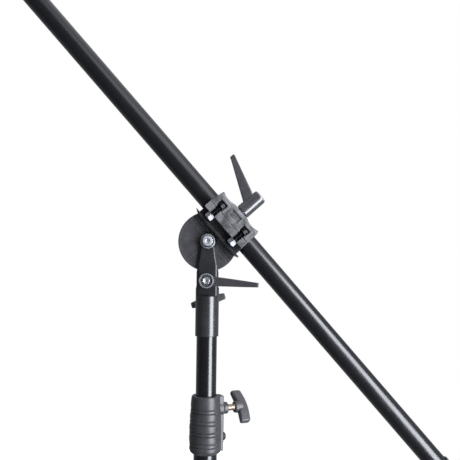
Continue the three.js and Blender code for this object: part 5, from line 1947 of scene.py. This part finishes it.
@dataclass
class FrictionDisc:
    """Disc between the fork's cheeks, with the flange that carries the clamp."""

    radius: float = 36.3
    half_thickness: float = 3.4
    rim_width: float = 2.6
    rim_proud: float = 0.15
    ribs: int = 8
    rib_width: float = 1.6
    hub_radius: float = 10.4
    bolt_radius: float = 4.0
    flange_top: float = 15.9
    flange_thickness: float = 2.4
    flange_half_length: float = 38.6
    flange_half_depth: float = 16.0
    band: float = 9.0
    band_half: float = 4.4
    screw_pitch: float = 50.0
    screw_depth: float = 7.6
    screw_radius: float = 2.0
    screw_head: float = 3.8

    def across(self, radius: float, half: float = THROUGH, facets: int = LARGE_FACETS) -> Piece:
        """Cylinder along Y about the tilt axis, by its half length."""
        return moved(rod(radius, -half, half, facets), axis="X", degrees=90)

    def casting(self) -> Piece:
        """The whole disc with its rim, ribs, hub, band and flange.

        Returns:
            The disc.
        """
        outer = self.half_thickness + self.rim_proud
        disc = self.across(self.radius, self.half_thickness, DISC_FACETS)
        disc.name = "fine_pivot_disc"
        hollow = self.across(self.radius - self.rim_width, THROUGH, DISC_FACETS)
        parts = [worked(self.across(self.radius, outer, DISC_FACETS), [hollow], Work.CUT)]
        for i in range(self.ribs):
            length = (self.hub_radius - 1, self.radius - 1)
            rib = block(length, (-outer, outer), (-self.rib_width / 2, self.rib_width / 2))
            parts.append(moved(rib, (0, 0, 0), "Y", 360 * i / self.ribs))
        worked(disc, parts, Work.JOIN)
        flange_low = self.flange_top - self.flange_thickness
        worked(disc, [block((-THROUGH, THROUGH), (-THROUGH, THROUGH), (-THROUGH, flange_low + 1))], Work.COMMON)
        chord = math.sqrt(self.radius**2 - flange_low**2)
        half, top = self.flange_half_length, self.flange_top
        left = [(-half, top), (-half, top - 0.5), (1 - chord, flange_low - 1)]
        outline = [*left, *[(-x, z) for x, z in reversed(left)]]
        flange = prism("flange", outline, -self.flange_half_depth, self.flange_half_depth, Along.Y)
        band_low = top - self.band
        reach = math.sqrt(self.radius**2 - band_low**2)
        band = block((-reach, reach), (-self.band_half, self.band_half), (band_low, flange_low))
        worked(band, [self.across(self.radius, THROUGH, DISC_FACETS)], Work.COMMON)
        worked(band, [self.across(self.hub_radius)], Work.CUT)
        worked(disc, [band, self.across(self.hub_radius - 0.4, self.half_thickness), flange], Work.JOIN)
        sink, head, shank = flange_low - 2, self.screw_head + BOLT_GAP, self.screw_radius + BOLT_GAP
        end = top + PAST
        profile = [(0, sink), (head, sink), (head, sink + 1.4), (shank, sink + 3.2), (shank, end), (0, end)]
        cuts = [self.across(self.bolt_radius + BOLT_GAP)]
        for x in (-self.screw_pitch / 2, self.screw_pitch / 2):
            for y in (-self.screw_depth, self.screw_depth):
                cuts.append(moved(turned("sink", profile, SMALL_FACETS, 0.0), (x, y, 0)))
        return cast(worked(disc, cuts, Work.CUT), passes=2, kept=0.45)

    def build(self, fitter: Fitter, stance: Stance) -> None:
        """Makes the disc."""
        disc = fitter.fit(self.casting(), stance.tilt(), Body.BOOM_HEAD, DISC_CASTING, "pivot_disc")
        # Painted shadow: the flange's upper part under the clamp gets the darker black casting finish for the clamp's
        # shade on it.
        fitter.touch_up(disc, YOKE_CASTING, lambda middle: middle.z > self.flange_top - 3.0)


@dataclass
class Boom:
    """Boom tube with its extension, front collar, spigot, rear cap and counterweight hook."""

    radius: float = 12.5
    wall: float = 1.2
    front: float = 520.0
    rear: float = 420.0
    extension_radius: float = 11.0
    extension_wall: float = 1.1
    extension_inside: float = 420.0
    extension_show: float = 80.0
    knob_roll: float = 20.0
    cap_wall: float = 1.8
    cap_length: float = 30.0
    cap_end: float = 4.0
    lug_length: float = 14.0
    lug_half_gap: float = 2.5
    lug_thickness: float = 3.0
    lug_radius: float = 7.0
    pin_radius: float = 2.5
    pin_head: float = 4.0
    wire: float = 1.9
    eye_gap: float = 0.5
    shank: float = 24.0
    bend: float = 9.85
    spigot_radius: float = 8.0
    spigot_length: float = 34.0
    spigot_waist: float = 6.6
    spigot_flange: float = 10.6
    spigot_step: float = 4.0
    spigot_plug: float = 30.0
    gap: float = 0.3
    collar: SliderCollar = field(
        default_factory=lambda: SliderCollar(
            prefix="front", body=Body.BOOM, radius=15.8, swell=1.0, length=50.0, slider=11.0, holder=12.5,
            holder_wall=1.2, knob_drop=10.5, tube_stop=9.5, pin_rise=17.0, rib_pairs=2, rib_end=16.3,
        )
    )

    def cap(self) -> Piece:
        """Rear cap with two lugs, along Z from the tube's end.

        Returns:
            The cap.
        """
        inner, end, foot = self.radius + self.gap, self.cap_end, -self.cap_length
        outer = inner + self.cap_wall
        profile = [(0, self.gap), (inner, self.gap), (inner, foot), (outer, foot), (outer, end), (0, end)]
        shell = turned("fine_boom_rear_cap", profile, LARGE_FACETS, 1.2)
        top, wide = end + self.lug_length, self.lug_radius
        turns = [math.pi * i / 24 for i in range(25)]
        crown = [(wide * math.cos(turn), top + wide * math.sin(turn)) for turn in turns]
        outside = self.lug_half_gap + self.lug_thickness
        lugs = prism("lugs", [(-wide, end - 1), (wide, end - 1), *crown], -outside, outside, Along.Y, 0.8)
        gap = block((-outer, outer), (-self.lug_half_gap, self.lug_half_gap), (end, THROUGH))
        worked(lugs, [gap], Work.CUT)
        worked(shell, [lugs], Work.JOIN)
        hole = moved(rod(self.pin_radius + BOLT_GAP, -outer, outer), (0, 0, top), "X", 90)
        return cast(worked(shell, [hole], Work.CUT), grain=0.4, passes=3)

    def pin(self) -> Piece:
        """Pin across the lugs, with its head at the top of its own axis.

        Returns:
            The pin.
        """
        outside = self.lug_half_gap + self.lug_thickness
        seat, foot = outside + self.gap, -outside - 1
        top, thin, wide = seat + 1.4, self.pin_radius, self.pin_head
        profile = [(0, foot), (thin, foot), (thin, seat), (wide, seat), (wide, seat + 0.5), (wide - 1.4, top), (0, top)]
        return turned("fine_hook_pin", profile, SMALL_FACETS, 0.3)

    def hook(self) -> Piece:
        """Wire hook that hangs from the pin: eye, slanting leg and open bow.

        Returns:
            The hook.
        """
        eye = self.pin_radius + self.eye_gap + self.wire
        drop = eye + self.shank + self.bend
        tangent = -math.asin((self.bend - eye) / drop)
        eye_arc = (eye, 0.0, math.radians(258), tangent, 40)
        bow_arc = (self.bend, drop, tangent, math.radians(-228), 48)
        path: list[Pair] = []
        for radius, fall, start, end, steps in (eye_arc, bow_arc):
            for i in range(steps + 1):
                angle = start + (end - start) * i / steps
                path.append((radius * math.cos(angle), radius * math.sin(angle) - fall))
        return swept("fine_counterweight_hook", path, self.wire)

    def spigot(self) -> Piece:
        """Light stud in the extension's front end, along Z.

        Returns:
            The spigot.
        """
        plug = self.extension_radius - self.extension_wall - self.gap
        foot, seat = self.gap - self.spigot_plug, self.gap
        face, length = seat + self.spigot_step, self.spigot_length
        wide, waist, top = self.spigot_radius, self.spigot_waist, face + length
        profile = [
            (0, foot), (plug, foot), (plug, seat), (self.spigot_flange, seat), (self.spigot_flange, face), (wide, face),
            (wide, face + length * 0.38), (waist, face + length * 0.44), (waist, face + length * 0.62),
            (wide, face + length * 0.68), (wide, top - 1), (wide - 1, top), (0, top),
        ]
        return turned("fine_spigot", profile, LARGE_FACETS, 0.4)

    def build(self, fitter: Fitter, stance: Stance) -> None:
        """Makes the boom's pieces.

        Args:
            fitter: Puts the pieces in place.
            stance: Where the arm's axes stand.
        """
        boom = tube("fine_boom_tube", self.radius, self.wall, self.front + self.rear)
        collar_foot = self.front - self.collar.grip
        pin = rod(self.collar.screw_radius + BOLT_GAP, 0, self.radius + 2)
        worked(boom, [moved(pin, (0, 0, self.rear + collar_foot + self.collar.pin_rise), "Y", 90)], Work.CUT)
        fitter.fit(boom, stance.boom(-self.rear), Body.BOOM, SATIN_TUBE, "boom_tube")
        self.collar.build(fitter, stance.boom(collar_foot), 0, self.knob_roll, Body.FRONT_KNOB)
        start = self.front - self.extension_inside
        end = collar_foot + self.collar.length + self.extension_show
        extension = tube("fine_extension_tube", self.extension_radius, self.extension_wall, end - start)
        fitter.fit(extension, stance.boom(start), Body.EXTENSION, GLOSS_TUBE, "extension_tube")
        fitter.dress("extension_bush", GREY_NYLON)
        fitter.fit(self.spigot(), stance.boom(end), Body.EXTENSION, BRIGHT_STEEL, "spigot", snug=True)
        rear = stance.boom(-self.rear) @ rotation(180, "X")
        fitter.fit(self.cap(), rear, Body.BOOM, GREY_NYLON, "boom_rear_cap", snug=True)
        top = self.cap_end + self.lug_length
        across = rear @ lift(top) @ rotation(-90, "X")
        fitter.fit(self.pin(), across, Body.BOOM, DULL_STEEL, "hook_pin", snug=True)
        hang = Matrix.Translation(stance.clamp(self.rear + top).translation)
        fitter.fit(self.hook(), hang, Body.HOOK, DULL_STEEL, "counterweight_hook")


@dataclass
class Softbox:
    """Rectangular light that faces a point on the arm, and shows in its gloss where it is mirrored."""

    name: str
    place: Point
    target: Point
    size: Pair
    power: float
    mirrored: bool = True
    colour: Colour = DAYLIGHT

    def build(self) -> None:
        """Adds the light."""
        data = bpy.data.lights.new(self.name, "AREA")
        data.shape = "RECTANGLE"
        data.size, data.size_y = self.size
        data.energy = self.power
        data.color = self.colour
        lamp = bpy.data.objects.new(self.name, data)
        lamp.location = self.place
        lamp.visible_camera = False
        lamp.visible_glossy = self.mirrored
        lamp.rotation_euler = (Vector(self.target) - Vector(self.place)).to_track_quat("-Z", "Y").to_euler()
        bpy.context.scene.collection.objects.link(lamp)
        LOG.info("%s lit", self.name)


@dataclass
class Studio:
    """Pale floor, soft lights and the camera."""

    floor_radius: float = 1250.0
    sky: float = 1.0
    light_colour: Colour = DAYLIGHT
    ambient_front: float = 0.11
    ambient_back: float = 0.35
    ambient_top: float = 0.75
    lens: float = 44.7
    camera_place: Point = (0.02755, -0.7, 0.553)
    shift_up: float = 0.1095
    roll: float = 0.8
    softboxes: tuple[Softbox, ...] = (
        Softbox("key_softbox", (1.13, -1.0, 0.42), (0.0, 0.0, 0.42), (0.85, 2.0), 68.0),
        Softbox("top_softbox", (0.9, -1.05, 1.95), (0.0, 0.0, 0.6), (2.0, 1.0), 9.5),
        Softbox("back_softbox", (0.0, 1.4, 0.6), (0.0, 0.0, 0.6), (1.2, 2.0), 45.0, mirrored=False),
    )

    def floor(self) -> None:
        """Adds the floor."""
        points = [(0.0, 0.0, -0.4)]
        ring = [math.tau * i / 64 for i in range(64)]
        points += [(self.floor_radius * math.cos(a), self.floor_radius * math.sin(a), -0.4) for a in ring]
        faces = [(0, 1 + i, 1 + (i + 1) % 64) for i in range(64)]
        floor = shaped("studio_floor", points, faces)
        if floor.data.polygons[0].normal.z < 0:
            floor.data.flip_normals()
        floor.data.materials.append(PALE_FLOOR.material())
        floor.visible_shadow = False
        floor.visible_glossy = False

    def surround(self) -> None:
        """Adds the white surround, which lights the arm more softly than it looks."""
        world = bpy.data.worlds.new("white_surround")
        world.use_nodes = True
        nodes, links = world.node_tree.nodes, world.node_tree.links
        seen = nodes["Background"]
        seen.inputs["Color"].default_value = (1, 1, 1, 1)
        seen.inputs["Strength"].default_value = self.sky
        soft = nodes.new("ShaderNodeBackground")
        soft.inputs["Color"].default_value = (*self.light_colour, 1)
        direction = nodes.new("ShaderNodeSeparateXYZ")
        links.new(nodes.new("ShaderNodeTexCoord").outputs["Generated"], direction.inputs["Vector"])
        total = nodes.new("ShaderNodeMath")
        fades = (
            ("Y", (-0.3, 1.0, self.ambient_front, self.ambient_back)), ("Z", (0.5, 0.95, 0.0, self.ambient_top)),
        )
        for i, (side, limits) in enumerate(fades):
            fade = nodes.new("ShaderNodeMapRange")
            links.new(direction.outputs[side], fade.inputs["Value"])
            for name, value in zip(("From Min", "From Max", "To Min", "To Max"), limits):
                fade.inputs[name].default_value = value
            links.new(fade.outputs["Result"], total.inputs[i])
        links.new(total.outputs["Value"], soft.inputs["Strength"])
        rays = nodes.new("ShaderNodeLightPath")
        choice = nodes.new("ShaderNodeMixShader")
        links.new(rays.outputs["Is Camera Ray"], choice.inputs["Fac"])
        links.new(soft.outputs["Background"], choice.inputs[1])
        links.new(seen.outputs["Background"], choice.inputs[2])
        links.new(choice.outputs["Shader"], nodes["World Output"].inputs["Surface"])
        bpy.context.scene.world = world

    def camera(self) -> None:
        """Adds the camera at the photograph's viewing angle."""
        data = bpy.data.cameras.new("photo_camera")
        data.lens = self.lens
        data.sensor_width = 36.0
        data.shift_y = self.shift_up
        data.clip_start, data.clip_end = 0.05, 60.0
        camera = bpy.data.objects.new("photo_camera", data)
        level = rotation(90, "X") @ rotation(self.roll, "Z")
        camera.matrix_world = Matrix.Translation(self.camera_place) @ level
        bpy.context.scene.collection.objects.link(camera)
        bpy.context.scene.camera = camera

    def build(self) -> None:
        """Adds everything round the arm."""
        self.floor()
        self.surround()
        for softbox in self.softboxes:
            softbox.build()
        self.camera()
        bpy.context.scene.view_settings.view_transform = "Standard"


def main() -> None:
    """Builds the arm's pieces and its studio."""
    logging.basicConfig(level=logging.INFO, format="%(name)s: %(message)s")
    stance = Stance()
    fitter = Fitter()
    for assembly in (Mast(), SwivelHead(), FrictionDisc(), TubeClamp(), Boom()):
        assembly.build(fitter, stance)
        LOG.info("%s done, %d pieces so far", type(assembly).__name__, len(fitter.fitted))
    Studio().build()


if __name__ == "__main__":
    main()
